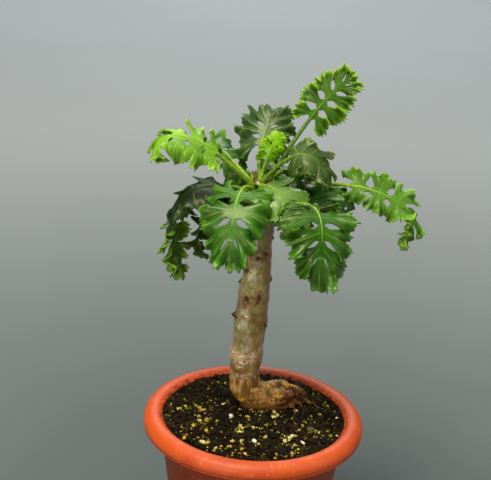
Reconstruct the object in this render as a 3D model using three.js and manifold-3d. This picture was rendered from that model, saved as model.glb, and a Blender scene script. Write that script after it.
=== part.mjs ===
// Potted Pelargonium crithmifolium: a plastic pot, its soil, one succulent stem and its leaves.
// Millimetres, +Z up. The origin is the middle of the pot's flat base.
import * as THREE from "three";
import { mergeVertices } from "three/addons/utils/BufferGeometryUtils.js";
import Module from "manifold-3d";

const wasm = await Module();
wasm.setup();

const GAP = 0.3; // clearance between pieces that touch

// Pot
const POT = {
  height: 120, // crest of the rim
  rimRadius: 70, // widest point of the rim
  beadRadius: 6.5, // half the thickness of the rolled rim
  baseRadius: 43,
  wallTopRadius: 59.3, // outside, just under the rim
  wallTopHeight: 111.5,
  wall: 2,
  base: 2.5,
  heel: 1.5, // bevel round the foot
  rimArc: [-22, 150], // degrees of the bead, from the outside lip over the crest
  rimSteps: 10,
  throat: 5, // depth under the crest where the plain inner wall begins
  drainCount: 8,
  drainRadius: 4.5,
  drainRing: 28, // holes stand on this circle, clear of the middle
  drainSides: 10,
};

// Soil
const SOIL = {
  level: 116.9, // at the wall
  mound: 1.4, // rise from the wall to the middle
  sunkEdge: 1, // the edge fits the wall this far under the level
  drop: 0.4, // the outermost ring lies this far under the level
  rings: 11,
  twist: 0.35, // rings are turned by up to this share of a side
  grain: 0.55, // height of the crumbs
  ripples: [[0.55, 0.2, 0], [-0.13, 0.48, 1], [0.9, -0.7, 2]], // turn per mm in x and in y, start
};
const ROUND = 36; // sides of the pot and of the soil in it

// Stem: centre line from under the soil to the tip, and its radius by height
const STEM_LINE = [
  [-1.5, 13.4, 119],
  [-5.8, 14.4, 128],
  [-7.2, 15, 139],
  [-6.4, 15, 158],
  [-5.8, 15, 174],
  [-4.8, 14, 188],
  [-3.1, 13, 224],
  [-2, 12, 249],
  [-3.6, 11.5, 260],
  [-6, 10.5, 270],
];
const STEM_RADIUS = [
  [119, 7],
  [122, 9.2],
  [131, 10],
  [138, 9.5],
  [140, 9.2],
  [143, 9.7],
  [148, 9.9],
  [152, 10.3],
  [158, 10],
  [170, 10.2],
  [176, 10.5],
  [182, 10],
  [196, 9.8],
  [210, 8.8],
  [224, 7.8],
  [249, 7.2],
  [262, 6.8],
  [267, 5.4],
  [270, 2.4],
];
const STEM = {
  sides: 14,
  stations: 30,
  ripple: 0.25, // height of the soft waves in its skin
  wave: 0.31, // their turn per mm of height
  slowWave: 0.13,
};

// Swollen foot: it lies along the soil from the bend to the root end
const FOOT_LINE = [
  [-6.5, 13.6, 127.5],
  [1, 12.6, 123.4],
  [9, 13.4, 122.4],
  [18, 16.5, 121.8],
  [26, 20.5, 120.5],
  [32, 22, 117],
];
const FOOT_RADIUS = [
  [0, 7.6],
  [0.12, 9.8],
  [0.35, 10.2],
  [0.6, 9.8],
  [0.8, 8.2],
  [1, 3.6],
];
const FOOT = { sides: 14, stations: 13, lump: 0.09 };

// Lumps on the foot: centre and half-sizes
const KNOBS = [
  { at: [9, 9.5, 125], size: [5, 4, 4] },
  { at: [25, 15.5, 119], size: [4, 3.5, 3.5] },
  { at: [17, 22, 127.5], size: [6.5, 4.5, 4] },
];

// Roots that leave the foot and run down into the soil
const ROOTS = [
  { line: [[20, 17, 121], [23.5, 12, 119.5], [25, 7.5, 115.5], [25.5, 5, 110]], radius: 2 },
  { line: [[25, 18, 121], [30, 13, 119], [32.5, 10, 115], [33.5, 8, 110]], radius: 1.8 },
  { line: [[27, 21, 121], [34, 20, 119], [38, 18, 115.5], [40, 17, 110]], radius: 1.8 },
  { line: [[24, 24, 122], [30, 28, 119.5], [34, 31, 115], [36, 33, 110]], radius: 2.2 },
];
const ROOT = {
  sides: 6,
  stations: 6,
  tip: 0.45, // thickness of the end as a share of the start
  lump: 0.12,
};

// Old leaf bases on the stem: height, bearing round the stem and half-sizes
const LARGE_NUB = 2; // one that stands out more than this is drawn rounder
const NUBS = [
  { height: 180, bearing: 187, out: 2.6, wide: 2.4, tall: 2.2 },
  { height: 174.5, bearing: -20, out: 1.6, wide: 2.2, tall: 1.8 },
  { height: 203, bearing: 188, out: 1.2, wide: 1.4, tall: 1.4 },
  { height: 205.5, bearing: -8, out: 1.2, wide: 1.4, tall: 1.8 },
  { height: 211.5, bearing: 232, out: 1.1, wide: 2.4, tall: 1.8 },
  { height: 233, bearing: -5, out: 1, wide: 1.5, tall: 1.6 },
  { height: 198, bearing: 258, out: 1.4, wide: 2, tall: 2.6 },
  { height: 190, bearing: 95, out: 1.5, wide: 2.2, tall: 1.8 },
  { height: 216, bearing: 60, out: 1.3, wide: 2, tall: 1.8 },
  { height: 166, bearing: 120, out: 1.4, wide: 2.2, tall: 1.8 },
];

// Leaf build
const LEAF = {
  rachis: 0.7, // share of the blade's length that the rachis takes
  wing: 2.2, // half-width of the strip of blade along the rachis, or the share below if less
  wingShare: 0.12,
  ribThickness: 1.7,
  edgeThickness: 0.8,
  petioleSides: 6,
  petioleStations: 7,
  petioleRadius: [1.2, 1.5], // of a narrow leaf and of a wide one
  wideHalf: 14, // a leaf is wide from this half-width
  petioleTaper: 0.75, // radius at the blade as a share of the radius at the stem
  flare: 0.7, // the petiole's foot is thicker by this, over the length below
  flareLength: 5,
  petioleSunk: 5, // length of petiole inside the blade, or the share of the blade below if less
  sunkShare: 0.12,
  ribSag: 0.5, // petiole's centre below the blade's middle, at the joint
  middleRow: 0.5, // share of a lobe's length at its middle row of points
  shingle: 0.9, // one side of each lobe stands this much proud of the rib, the other below
  firstRay: 128, // direction of the blade's first edge, and of the last parting before its end lobe
  lastRay: 30,
  rayStray: 9,
  lengthStray: 0.07,
  least: 0.72, // length of the shortest side lobe as a share of the longest
  parting: 0.91, // share of the room between two partings that a lobe fills at its margin
  teeth: 4, // teeth at the end of each lobe
  round: 0.2, // share by which a lobe's corners fall short of its middle
  bulge: 2, // most that a lobe's middle stands above or below the blade
  rootDepth: 1, // the middle line starts this far under the stem's skin
  steps: 80, // in which the middle line is walked
};

// One entry a leaf. base: height and bearing of the petiole on the stem. heading (degrees round +Z
// from +X): at the base, at the blade's start and at its tip. pitch (degrees above level): at the
// base, at the blade's start, middle and tip. roll: of the blade about its rib, at start and tip.
// petiole, blade, half: lengths and half-width. pairs: pairs of side lobes. pinch: how far a lobe
// narrows below its margin, as a share of its room. cut: depth of teeth as a share of a lobe. wave:
// height of the margin's waves. fold and droop: degrees that the blade rises beside the rib and falls
// at its margin.
const LEAVES = [
  { name: "leaf_left_upper", base: [266, 205], heading: [215, 190, 185], pitch: [45, 38, 4, -118],
    petiole: 33, blade: 53, roll: [-46, 2], half: 19.5, pairs: 4, pinch: 0.32, cut: 0.13, wave: 1.6,
    fold: 14, droop: 26, colour: 0x6fb52a },
  { name: "leaf_far_left", base: [260, 160], heading: [145, 170, 150], pitch: [15, -38, -92, -115],
    petiole: 42, blade: 62, roll: [0, 10], half: 18, pairs: 4, pinch: 0.36, cut: 0.14, wave: 2,
    fold: 16, droop: 20, colour: 0x3f8a2c },
  { name: "leaf_left_dark", base: [258.5, 192], heading: [197, 191, 174], pitch: [17, 15, -51, -97],
    petiole: 23, blade: 46, roll: [-15, -11], half: 17, pairs: 3, pinch: 0.36, cut: 0.12, wave: 1.4,
    fold: 12, droop: 30, colour: 0x1f4a2e },
  { name: "leaf_front_left", base: [263, 230], heading: [234, 256, 270], pitch: [46, -14, -60, -96],
    petiole: 22, blade: 54, roll: [2, 6], half: 23, pairs: 3, pinch: 0.36, cut: 0.09, wave: 1.3,
    fold: 10, droop: 25, colour: 0x3f9a24 },
  { name: "leaf_front_right", base: [256, 307], heading: [317, 301, 247], pitch: [21, 8, -80, -102],
    petiole: 38, blade: 60, roll: [-10, 0], half: 25, pairs: 4, pinch: 0.36, cut: 0.09, wave: 1.4,
    fold: 10, droop: 25, colour: 0x35822a },
  { name: "leaf_far_right", base: [259, 4], heading: [18, -3, 0], pitch: [25, -4, -30, -145],
    petiole: 49, blade: 67, roll: [54, 34], half: 15, pairs: 4, pinch: 0.36, cut: 0.17, wave: 2,
    fold: 16, droop: 20, colour: 0x4a9c2c },
  { name: "leaf_top_right", base: [266, 40], heading: [27, 26, 14], pitch: [60, 52, 45, 30],
    petiole: 48, blade: 40, roll: [65, 65], half: 17.5, pairs: 4, pinch: 0.36, cut: 0.2, wave: 1,
    fold: 8, droop: 10, colour: 0x59b01f },
  { name: "leaf_top", base: [266.5, 80], heading: [119, 73, 66], pitch: [57, 50, 47, 36],
    petiole: 24, blade: 33, roll: [-1, 0], half: 20, pairs: 3, pinch: 0.36, cut: 0.14, wave: 1.8,
    fold: 16, droop: 15, colour: 0x2b5a3a },
  { name: "leaf_right_dull", base: [269, 1], heading: [351, 341, 354], pitch: [59, 34, -45, -84],
    petiole: 24, blade: 37, roll: [35, 26], half: 15, pairs: 3, pinch: 0.36, cut: 0.08, wave: 1.2,
    fold: 8, droop: 25, colour: 0x3d5e3c },
  { name: "leaf_right_glossy", base: [261.5, 345], heading: [340, 344, 352], pitch: [33, 3, -10, -40],
    petiole: 6, blade: 43, roll: [53, 45], half: 17.5, pairs: 3, pinch: 0.36, cut: 0.08, wave: 1,
    fold: 6, droop: 30, colour: 0x1d4a2a },
  { name: "leaf_front_pale", base: [267, 277], heading: [288, 307, 328], pitch: [32, 10, -48, -81],
    petiole: 6, blade: 46, roll: [24, 18], half: 18, pairs: 3, pinch: 0.36, cut: 0.1, wave: 1.2,
    fold: 8, droop: 30, colour: 0x6a8f5c },
  { name: "leaf_young", base: [269, 80], heading: [32, 25, 11], pitch: [76, 72, 58, 59],
    petiole: 14, blade: 18, roll: [76, 72], half: 8.5, pairs: 3, pinch: 0.36, cut: 0.18, wave: 0.7,
    fold: 8, droop: 10, colour: 0x77c02c },
  { name: "leaf_back_left", base: [254, 140], heading: [158, 170, 190], pitch: [10, -35, -76, -80],
    petiole: 24, blade: 40, roll: [0, 0], half: 16, pairs: 3, pinch: 0.36, cut: 0.12, wave: 1.2,
    fold: 10, droop: 25, colour: 0x1b3d20 },
  { name: "leaf_right_inner", base: [256, 27], heading: [46, 3, -22], pitch: [36, -5, -30, -69],
    petiole: 34, blade: 30, roll: [20, 21], half: 12, pairs: 3, pinch: 0.36, cut: 0.12, wave: 1,
    fold: 10, droop: 20, colour: 0x357a2a },
  { name: "leaf_back_low", base: [257.5, 67], heading: [59, 66, 44], pitch: [21, -40, -74, -80],
    petiole: 18, blade: 32, roll: [-4, 2], half: 13, pairs: 3, pinch: 0.36, cut: 0.12, wave: 1.2,
    fold: 10, droop: 25, colour: 0x2f4a1e },
  { name: "leaf_back_upper", base: [265, 135], heading: [150, 140, 135], pitch: [40, 28, 0, -55],
    petiole: 22, blade: 44, roll: [-10, -10], half: 19, pairs: 3, pinch: 0.36, cut: 0.11, wave: 1.4,
    fold: 12, droop: 25, colour: 0x357f27 },
  { name: "leaf_back_right", base: [261.5, 77], heading: [69, 57, 51], pitch: [28, 6, -51, -97],
    petiole: 26, blade: 50, roll: [1, 2], half: 20, pairs: 3, pinch: 0.36, cut: 0.11, wave: 1.4,
    fold: 10, droop: 25, colour: 0x2d6b2a },
  { name: "leaf_back_middle", base: [260, 108], heading: [108, 102, 95], pitch: [25, 0, -60, -100],
    petiole: 24, blade: 50, roll: [0, 0], half: 20, pairs: 3, pinch: 0.36, cut: 0.11, wave: 1.4,
    fold: 10, droop: 25, colour: 0x2f7028 },
];

const COLOUR = { pot: 0xc24a26, soil: 0x2b2116, stem: 0x9a8a62 };

const GOLDEN_ANGLE = 2.4; // radians, spreads successive values evenly
const radians = THREE.MathUtils.degToRad;
const clamp = THREE.MathUtils.clamp;
const lerp = THREE.MathUtils.lerp;

// A number from 0 to 1 that depends only on the three given.
function chance(a, b, c) {
  const wobble = Math.sin(a * 12.9898 + b * 78.233 + c * 37.719) * 43758.5453;
  return wobble - Math.floor(wobble);
}

// The value at x on the broken line through pairs [x, y].
function along(pairs, x) {
  const last = pairs.length - 1;
  if (x <= pairs[0][0]) return pairs[0][1];
  if (x >= pairs[last][0]) return pairs[last][1];
  const i = pairs.findIndex((pair) => pair[0] > x);
  const [x0, y0] = pairs[i - 1];
  const [x1, y1] = pairs[i];
  return lerp(y0, y1, (x - x0) / (x1 - x0));
}

// Value at x of a line through values that stand at stops.
function spread(stops, values, x) {
  return along(stops.map((stop, k) => [stop, values[k]]), x);
}

// Solids

function solidOf(geometry) {
  const bare = geometry.index ? geometry.toNonIndexed() : geometry.clone();
  for (const name of Object.keys(bare.attributes)) {
    if (name !== "position") bare.deleteAttribute(name);
  }
  const merged = mergeVertices(bare, 1e-4);
  return new wasm.Manifold(
    new wasm.Mesh({
      numProp: 3,
      vertProperties: merged.attributes.position.array,
      triVerts: new Uint32Array(merged.index.array),
    }),
  );
}

function geometryOf(solid) {
  const { vertProperties, triVerts, numProp } = solid.getMesh();
  const count = vertProperties.length / numProp;
  const positions = new Float32Array(count * 3);
  for (let i = 0; i < count; i++) {
    positions.set(vertProperties.subarray(i * numProp, i * numProp + 3), i * 3);
  }
  const geometry = new THREE.BufferGeometry();
  geometry.setAttribute("position", new THREE.BufferAttribute(positions, 3));
  geometry.setIndex(new THREE.BufferAttribute(new Uint32Array(triVerts), 1));
  geometry.computeVertexNormals();
  return geometry;
}

function geometryFrom(points, triangles) {
  const geometry = new THREE.BufferGeometry();
  const positions = points.flatMap((point) => point.toArray());
  geometry.setAttribute("position", new THREE.Float32BufferAttribute(positions, 3));
  geometry.setIndex(triangles.flat());
  return geometry;
}

// A closed skin over rings of points, each end shut by a fan round its middle.
function loft(rings) {
  const sides = rings[0].length;
  const points = rings.flat();
  const triangles = [];
  for (let k = 0; k + 1 < rings.length; k++) {
    for (let i = 0; i < sides; i++) {
      const a = k * sides + i;
      const b = k * sides + ((i + 1) % sides);
      triangles.push([a, b, b + sides], [a, b + sides, a + sides]);
    }
  }
  const ends = [
    { ring: rings[0], first: 0, turn: -1 },
    { ring: rings.at(-1), first: (rings.length - 1) * sides, turn: 1 },
  ];
  for (const { ring, first, turn } of ends) {
    const middle = points.length;
    points.push(ring.reduce((sum, p) => sum.add(p), new THREE.Vector3()).divideScalar(sides));
    for (let i = 0; i < sides; i++) {
      const a = first + i;
      const b = first + ((i + 1) % sides);
      triangles.push(turn > 0 ? [a, b, middle] : [b, a, middle]);
    }
  }
  return geometryFrom(points, triangles);
}

// A tube along a curve. radiusAt gives the radius for a share of the length and an angle.
function tube(curve, stations, sides, radiusAt) {
  const frames = curve.computeFrenetFrames(stations, false);
  const rings = [];
  for (let k = 0; k <= stations; k++) {
    const share = k / stations;
    const centre = curve.getPointAt(share);
    const ring = [];
    for (let i = 0; i < sides; i++) {
      const angle = (i / sides) * 2 * Math.PI;
      const out = frames.normals[k].clone().multiplyScalar(Math.cos(angle));
      out.addScaledVector(frames.binormals[k], Math.sin(angle));
      ring.push(centre.clone().addScaledVector(out, radiusAt(share, angle)));
    }
    rings.push(ring);
  }
  return loft(rings);
}

function curveOf(line) {
  return new THREE.CatmullRomCurve3(line.map((p) => new THREE.Vector3(...p)));
}

// Pot

function innerRadius(height) {
  const slope = (POT.wallTopRadius - POT.baseRadius) / POT.wallTopHeight;
  return POT.baseRadius + slope * height - POT.wall;
}

function potSolid() {
  const beadRadius = POT.rimRadius - POT.beadRadius;
  const beadHeight = POT.height - POT.beadRadius;
  const profile = [
    [0, 0],
    [POT.baseRadius - POT.heel, 0],
    [POT.baseRadius, POT.heel],
    [POT.wallTopRadius, POT.wallTopHeight],
  ];
  for (let k = 0; k <= POT.rimSteps; k++) {
    const angle = radians(lerp(...POT.rimArc, k / POT.rimSteps));
    profile.push([
      beadRadius + POT.beadRadius * Math.cos(angle),
      beadHeight + POT.beadRadius * Math.sin(angle),
    ]);
  }
  for (const height of [POT.height - POT.throat, POT.base]) {
    profile.push([innerRadius(height), height]);
  }
  profile.push([0, POT.base]);
  const outline = profile.map(([radius, height]) => new THREE.Vector2(radius, height));
  const turned = new THREE.LatheGeometry(outline, ROUND);
  turned.rotateX(Math.PI / 2);
  let pot = solidOf(turned);
  for (let k = 0; k < POT.drainCount; k++) {
    const bearing = (k / POT.drainCount) * 2 * Math.PI;
    const depth = 4 * POT.base;
    const drain = new THREE.CylinderGeometry(POT.drainRadius, POT.drainRadius, depth, POT.drainSides);
    drain.rotateX(Math.PI / 2);
    drain.translate(POT.drainRing * Math.cos(bearing), POT.drainRing * Math.sin(bearing), 0);
    pot = pot.subtract(solidOf(drain));
  }
  return pot;
}

// Soil

// Height of the soil's surface: a low mound, with crumbs from three crossed ripples and a jitter.
function soilHeight(x, y) {
  const share = Math.hypot(x, y) / innerRadius(SOIL.level);
  const [first, second, third] = SOIL.ripples.map(([alongX, alongY, start]) =>
    Math.sin(alongX * x + alongY * y + start),
  );
  const crumbs = first * second + third / 2;
  const jitter = chance(Math.round(x), Math.round(y), 7) - 0.5;
  return SOIL.level + SOIL.mound * (1 - share * share) + SOIL.grain * (crumbs + jitter);
}

function soilGeometry() {
  const bottom = POT.base + GAP;
  const points = [new THREE.Vector3(0, 0, soilHeight(0, 0))];
  const triangles = [];
  const ringStart = (ring) => 1 + (ring - 1) * ROUND;
  const addRing = (radius, heightAt, twist) => {
    for (let i = 0; i < ROUND; i++) {
      const bearing = ((i + twist) / ROUND) * 2 * Math.PI;
      const x = radius * Math.cos(bearing);
      const y = radius * Math.sin(bearing);
      points.push(new THREE.Vector3(x, y, heightAt(x, y)));
    }
  };
  const edge = innerRadius(SOIL.level - SOIL.sunkEdge) - GAP;
  for (let ring = 1; ring <= SOIL.rings; ring++) {
    const share = ring / SOIL.rings;
    const outermost = ring === SOIL.rings;
    const heightAt = outermost ? () => SOIL.level - SOIL.drop : soilHeight;
    addRing(edge * share, heightAt, outermost ? 0 : SOIL.twist * Math.sin(GOLDEN_ANGLE * ring));
  }
  addRing(innerRadius(bottom) - GAP, () => bottom, 0);
  const rings = SOIL.rings + 1;
  for (let i = 0; i < ROUND; i++) {
    const next = (i + 1) % ROUND;
    triangles.push([0, 1 + i, 1 + next]);
    for (let ring = 1; ring < rings; ring++) {
      const a = ringStart(ring) + i;
      const b = ringStart(ring) + next;
      triangles.push([a, a + ROUND, b + ROUND], [a, b + ROUND, b]);
    }
    triangles.push([points.length, ringStart(rings) + next, ringStart(rings) + i]);
  }
  points.push(new THREE.Vector3(0, 0, bottom));
  return geometryFrom(points, triangles);
}

// Stem

function stemPoint(height) {
  const x = along(STEM_LINE.map((p) => [p[2], p[0]]), height);
  const y = along(STEM_LINE.map((p) => [p[2], p[1]]), height);
  return new THREE.Vector3(x, y, height);
}

function ellipsoid(centre, size, detail) {
  const ball = new THREE.IcosahedronGeometry(1, detail);
  ball.scale(...size);
  ball.translate(...centre);
  return solidOf(ball);
}

// The whole stem, each surface moved out by grow.
function stemSolid(grow) {
  const line = curveOf(STEM_LINE);
  const trunk = tube(line, STEM.stations, STEM.sides, (share, angle) => {
    const height = line.getPointAt(share).z;
    const wave = Math.sin(STEM.wave * height + 2 * Math.sin(angle));
    const slowWave = Math.sin(STEM.slowWave * height + angle);
    return along(STEM_RADIUS, height) + STEM.ripple * wave * slowWave + grow;
  });
  const foot = tube(curveOf(FOOT_LINE), FOOT.stations, FOOT.sides, (share, angle) => {
    const lumps = Math.sin(3 * angle + 9 * share) + 0.7 * Math.sin(2 * angle - 17 * share);
    return along(FOOT_RADIUS, share) * (1 + FOOT.lump * lumps) + grow;
  });
  let stem = solidOf(trunk).add(solidOf(foot));
  for (const { at, size } of KNOBS) {
    stem = stem.add(ellipsoid(at, size.map((half) => half + grow), 1));
  }
  for (const { line: rootLine, radius } of ROOTS) {
    const root = tube(curveOf(rootLine), ROOT.stations, ROOT.sides, (share, angle) => {
      const lump = 1 + ROOT.lump * Math.sin(3 * angle + 11 * share);
      return radius * lerp(1, ROOT.tip, share) * lump + grow;
    });
    stem = stem.add(solidOf(root));
  }
  for (const nub of NUBS) {
    const ball = new THREE.IcosahedronGeometry(1, nub.out > LARGE_NUB ? 1 : 0);
    ball.scale(nub.out + grow, nub.wide + grow, nub.tall + grow);
    ball.translate(along(STEM_RADIUS, nub.height), 0, 0);
    ball.rotateZ(radians(nub.bearing));
    ball.translate(...stemPoint(nub.height).toArray());
    stem = stem.add(solidOf(ball));
  }
  return stem;
}

// Leaves

// The leaf's middle line, walked in short steps from the stem, and its frame at any distance along it.
function spineOf(leaf) {
  const total = leaf.petiole + leaf.blade;
  const middle = leaf.petiole + leaf.blade / 2;
  const headingAt = (s) => spread([0, leaf.petiole, total], leaf.heading, s);
  const pitchAt = (s) => spread([0, leaf.petiole, middle, total], leaf.pitch, s);
  const rollAt = (s) => spread([leaf.petiole, total], leaf.roll, s);
  const forward = (s) => {
    const heading = radians(headingAt(s));
    const pitch = radians(pitchAt(s));
    return new THREE.Vector3(
      Math.cos(pitch) * Math.cos(heading),
      Math.cos(pitch) * Math.sin(heading),
      Math.sin(pitch),
    );
  };
  const [height, bearing] = leaf.base;
  const start = stemPoint(height);
  const reach = along(STEM_RADIUS, height) - LEAF.rootDepth;
  start.x += reach * Math.cos(radians(bearing));
  start.y += reach * Math.sin(radians(bearing));
  const step = total / LEAF.steps;
  const places = [start];
  for (let k = 0; k < LEAF.steps; k++) {
    places.push(places[k].clone().addScaledVector(forward((k + 0.5) * step), step));
  }
  const pointAt = (s) => {
    const k = clamp(Math.floor(s / step), 0, LEAF.steps - 1);
    return places[k].clone().lerp(places[k + 1], clamp(s, 0, total) / step - k);
  };
  const frameAt = (s) => {
    const heading = radians(headingAt(s));
    const roll = radians(rollAt(s));
    const ahead = forward(s);
    const level = new THREE.Vector3(-Math.sin(heading), Math.cos(heading), 0);
    const up = ahead.clone().cross(level);
    const side = level.clone().multiplyScalar(Math.cos(roll)).addScaledVector(up, Math.sin(roll));
    const top = up.multiplyScalar(Math.cos(roll)).addScaledVector(level, -Math.sin(roll));
    return { ahead, side, top };
  };
  return { pointAt, frameAt };
}

// Side lobes and the end lobe of a blade. Neighbours are parted by rays that fan out from the edge of
// the strip along the rachis. feet holds where a lobe's two rays start, rays their directions in
// degrees from the rachis, length the lobe's reach and bulge how far its middle stands up.
function lobesOf(leaf, number) {
  const rachis = leaf.blade * LEAF.rachis;
  const wing = Math.min(LEAF.wing, leaf.half * LEAF.wingShare);
  const rayAt = (side, k) => {
    const odd = chance(number, k, side + 5) - 0.5;
    return lerp(LEAF.firstRay, LEAF.lastRay, k / leaf.pairs) + (k < leaf.pairs ? LEAF.rayStray * odd : 0);
  };
  const lobes = [];
  for (const side of [1, -1]) {
    for (let k = 0; k < leaf.pairs; k++) {
      const swell = LEAF.least + (1 - LEAF.least) * Math.sin((Math.PI * (k + 0.8)) / (leaf.pairs + 0.6));
      const odd = 2 * chance(number, k, side) - 1;
      lobes.push({
        side,
        feet: [(rachis * k) / leaf.pairs, (rachis * (k + 1)) / leaf.pairs],
        rays: [rayAt(side, k), rayAt(side, k + 1)],
        length: (leaf.half - wing) * swell * (1 + LEAF.lengthStray * odd),
        bulge: LEAF.bulge * (2 * chance(number, k + 20, side) - 1),
      });
    }
  }
  lobes.push({
    side: 0,
    feet: [rachis, rachis],
    rays: [-LEAF.lastRay, LEAF.lastRay],
    length: leaf.blade - rachis,
    bulge: 0,
  });
  return { lobes, wing, phase: 2 * Math.PI * chance(number, 40, 0) };
}

// A point of a lobe in the flat blade, with its height above it. out runs from the foot (0) to the
// margin (1) and across from -1 to 1. The lobe is pinched between its foot and its margin.
function lobePoint(leaf, lobe, wing, phase, out, across) {
  const width = (1 - 4 * leaf.pinch * out * (1 - out)) * lerp(1, LEAF.parting, out);
  const share = (1 + across * width) / 2;
  const angle = radians(lerp(lobe.rays[0], lobe.rays[1], share));
  const tooth = Math.sin((Math.PI * LEAF.teeth * (across + 1)) / 2) ** 2;
  const short = LEAF.round * across * across + leaf.cut * (1 - tooth) * out ** 3;
  const reach = lobe.length * out * (1 - short);
  const wave = leaf.wave * out ** 3 * Math.sin(2 * Math.PI * across + phase);
  const bulge = lobe.bulge * out ** 2 * Math.cos((Math.PI * across) / 2);
  const y = (lobe.side ? wing : wing * across) + reach * Math.sin(angle);
  return {
    x: lerp(lobe.feet[0], lobe.feet[1], share) + reach * Math.cos(angle),
    y: y * (lobe.side || 1),
    lift: wave + bulge + (lobe.side ? LEAF.shingle * across * out ** 2 : 0),
    thick: lerp(LEAF.ribThickness, LEAF.edgeThickness, Math.sqrt(out)),
  };
}

// The blade as one sheet of points and triangles. Each lobe is rows of points that double in number
// towards the margin, and neighbours share the strip along the rachis.
function sheetOf(leaf, number) {
  const { lobes, wing, phase } = lobesOf(leaf, number);
  const points = [];
  const places = new Map();
  const triangles = [];
  const pointIndex = (point) => {
    const key = `${point.x.toFixed(3)},${point.y.toFixed(3)}`;
    if (!places.has(key)) {
      places.set(key, points.length);
      points.push(point);
    }
    return places.get(key);
  };
  const rowOf = (count, pointAt) =>
    Array.from({ length: count + 1 }, (_, i) => pointIndex(pointAt((2 * i) / count - 1)));
  for (const lobe of lobes) {
    const rows = [];
    if (lobe.side) {
      const rib = (across) => {
        const x = lerp(...lobe.feet, (across + 1) / 2);
        return { x, y: 0, lift: 0, thick: LEAF.ribThickness };
      };
      rows.push(rowOf(2, rib));
    }
    rows.push(rowOf(2, (across) => lobePoint(leaf, lobe, wing, phase, 0, across)));
    rows.push(rowOf(4, (across) => lobePoint(leaf, lobe, wing, phase, LEAF.middleRow, across)));
    rows.push(rowOf(8, (across) => lobePoint(leaf, lobe, wing, phase, 1, across)));
    const flip = lobe.side === 1;
    for (let k = 0; k + 1 < rows.length; k++) {
      const near = rows[k];
      const far = rows[k + 1];
      const ratio = (far.length - 1) / (near.length - 1);
      for (let i = 0; i + 1 < near.length; i++) {
        const [a, b] = [near[i], near[i + 1]];
        const faces =
          ratio === 1
            ? [[a, far[i], far[i + 1]], [a, far[i + 1], b]]
            : [
                [a, far[2 * i], far[2 * i + 1]],
                [a, far[2 * i + 1], b],
                [b, far[2 * i + 1], far[2 * i + 2]],
              ];
        triangles.push(...faces.map((face) => (flip ? face.reverse() : face)));
      }
    }
  }
  return { points, triangles };
}

// The sheet bent along the leaf's spine, given its thickness and closed round its edge.
function bladeGeometry(leaf, number, spine) {
  const { points, triangles } = sheetOf(leaf, number);
  const fold = radians(leaf.fold);
  const bend = radians(leaf.fold + leaf.droop) / leaf.half;
  const middle = points.map(({ x, y, lift }) => {
    const away = Math.abs(y);
    const slope = fold - bend * away;
    const sideways = Math.sign(y) * ((Math.sin(fold) - Math.sin(slope)) / bend);
    const rise = (Math.cos(slope) - Math.cos(fold)) / bend;
    const { side, top } = spine.frameAt(leaf.petiole + x);
    const normal = top.clone().multiplyScalar(Math.cos(slope));
    normal.addScaledVector(side, -Math.sign(y) * Math.sin(slope));
    return spine
      .pointAt(leaf.petiole + x)
      .addScaledVector(side, sideways)
      .addScaledVector(top, rise)
      .addScaledVector(normal, lift);
  });
  const normals = middle.map(() => new THREE.Vector3());
  for (const [a, b, c] of triangles) {
    const cross = middle[b].clone().sub(middle[a]).cross(middle[c].clone().sub(middle[a]));
    for (const i of [a, b, c]) normals[i].add(cross);
  }
  normals.forEach((normal) => normal.normalize());
  const count = middle.length;
  const skin = [1, -1].flatMap((face) =>
    middle.map((p, i) => p.clone().addScaledVector(normals[i], (face * points[i].thick) / 2)),
  );
  const faces = triangles.flatMap(([a, b, c]) => [[a, b, c], [a + count, c + count, b + count]]);
  const edges = new Set(triangles.flatMap(([a, b, c]) => [`${a} ${b}`, `${b} ${c}`, `${c} ${a}`]));
  for (const edge of edges) {
    const [a, b] = edge.split(" ").map(Number);
    if (!edges.has(`${b} ${a}`)) faces.push([b, a, a + count], [b, a + count, b + count]);
  }
  return geometryFrom(skin, faces);
}

function petioleGeometry(leaf, spine) {
  const sunk = Math.min(LEAF.petioleSunk, leaf.blade * LEAF.sunkShare);
  const length = leaf.petiole + sunk;
  const [narrow, wide] = LEAF.petioleRadius;
  const radius = leaf.half > LEAF.wideHalf ? wide : narrow;
  const rings = [];
  for (let k = 0; k <= LEAF.petioleStations; k++) {
    const share = k / LEAF.petioleStations;
    const s = length * share;
    const { side, top } = spine.frameAt(s);
    const sag = LEAF.ribSag * clamp((s - leaf.petiole) / sunk + 0.5, 0, 1);
    const centre = spine.pointAt(s).addScaledVector(top, -sag);
    const foot = LEAF.flare * Math.max(0, 1 - s / LEAF.flareLength);
    const width = radius * lerp(1, LEAF.petioleTaper, share) + foot;
    rings.push(
      Array.from({ length: LEAF.petioleSides }, (_, i) => {
        const angle = ((i + 0.5) / LEAF.petioleSides) * 2 * Math.PI;
        return centre
          .clone()
          .addScaledVector(side, width * Math.cos(angle))
          .addScaledVector(top, width * Math.sin(angle));
      }),
    );
  }
  return loft(rings);
}

// Assembly

const plant = new THREE.Group();

function place(name, solid, colour, roughness) {
  const material = new THREE.MeshStandardMaterial({ color: colour, roughness, metalness: 0 });
  const mesh = new THREE.Mesh(geometryOf(solid), material);
  mesh.name = name;
  plant.add(mesh);
}

const clearance = stemSolid(GAP);
place("pot", potSolid(), COLOUR.pot, 0.45);
place("soil", solidOf(soilGeometry()).subtract(clearance), COLOUR.soil, 0.95);
place("stem", stemSolid(0), COLOUR.stem, 0.5);
LEAVES.forEach((leaf, number) => {
  const spine = spineOf(leaf);
  const petiole = solidOf(petioleGeometry(leaf, spine));
  const blade = solidOf(bladeGeometry(leaf, number, spine));
  place(leaf.name, blade.add(petiole).subtract(clearance), leaf.colour, 0.4);
});

export default plant;
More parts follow.
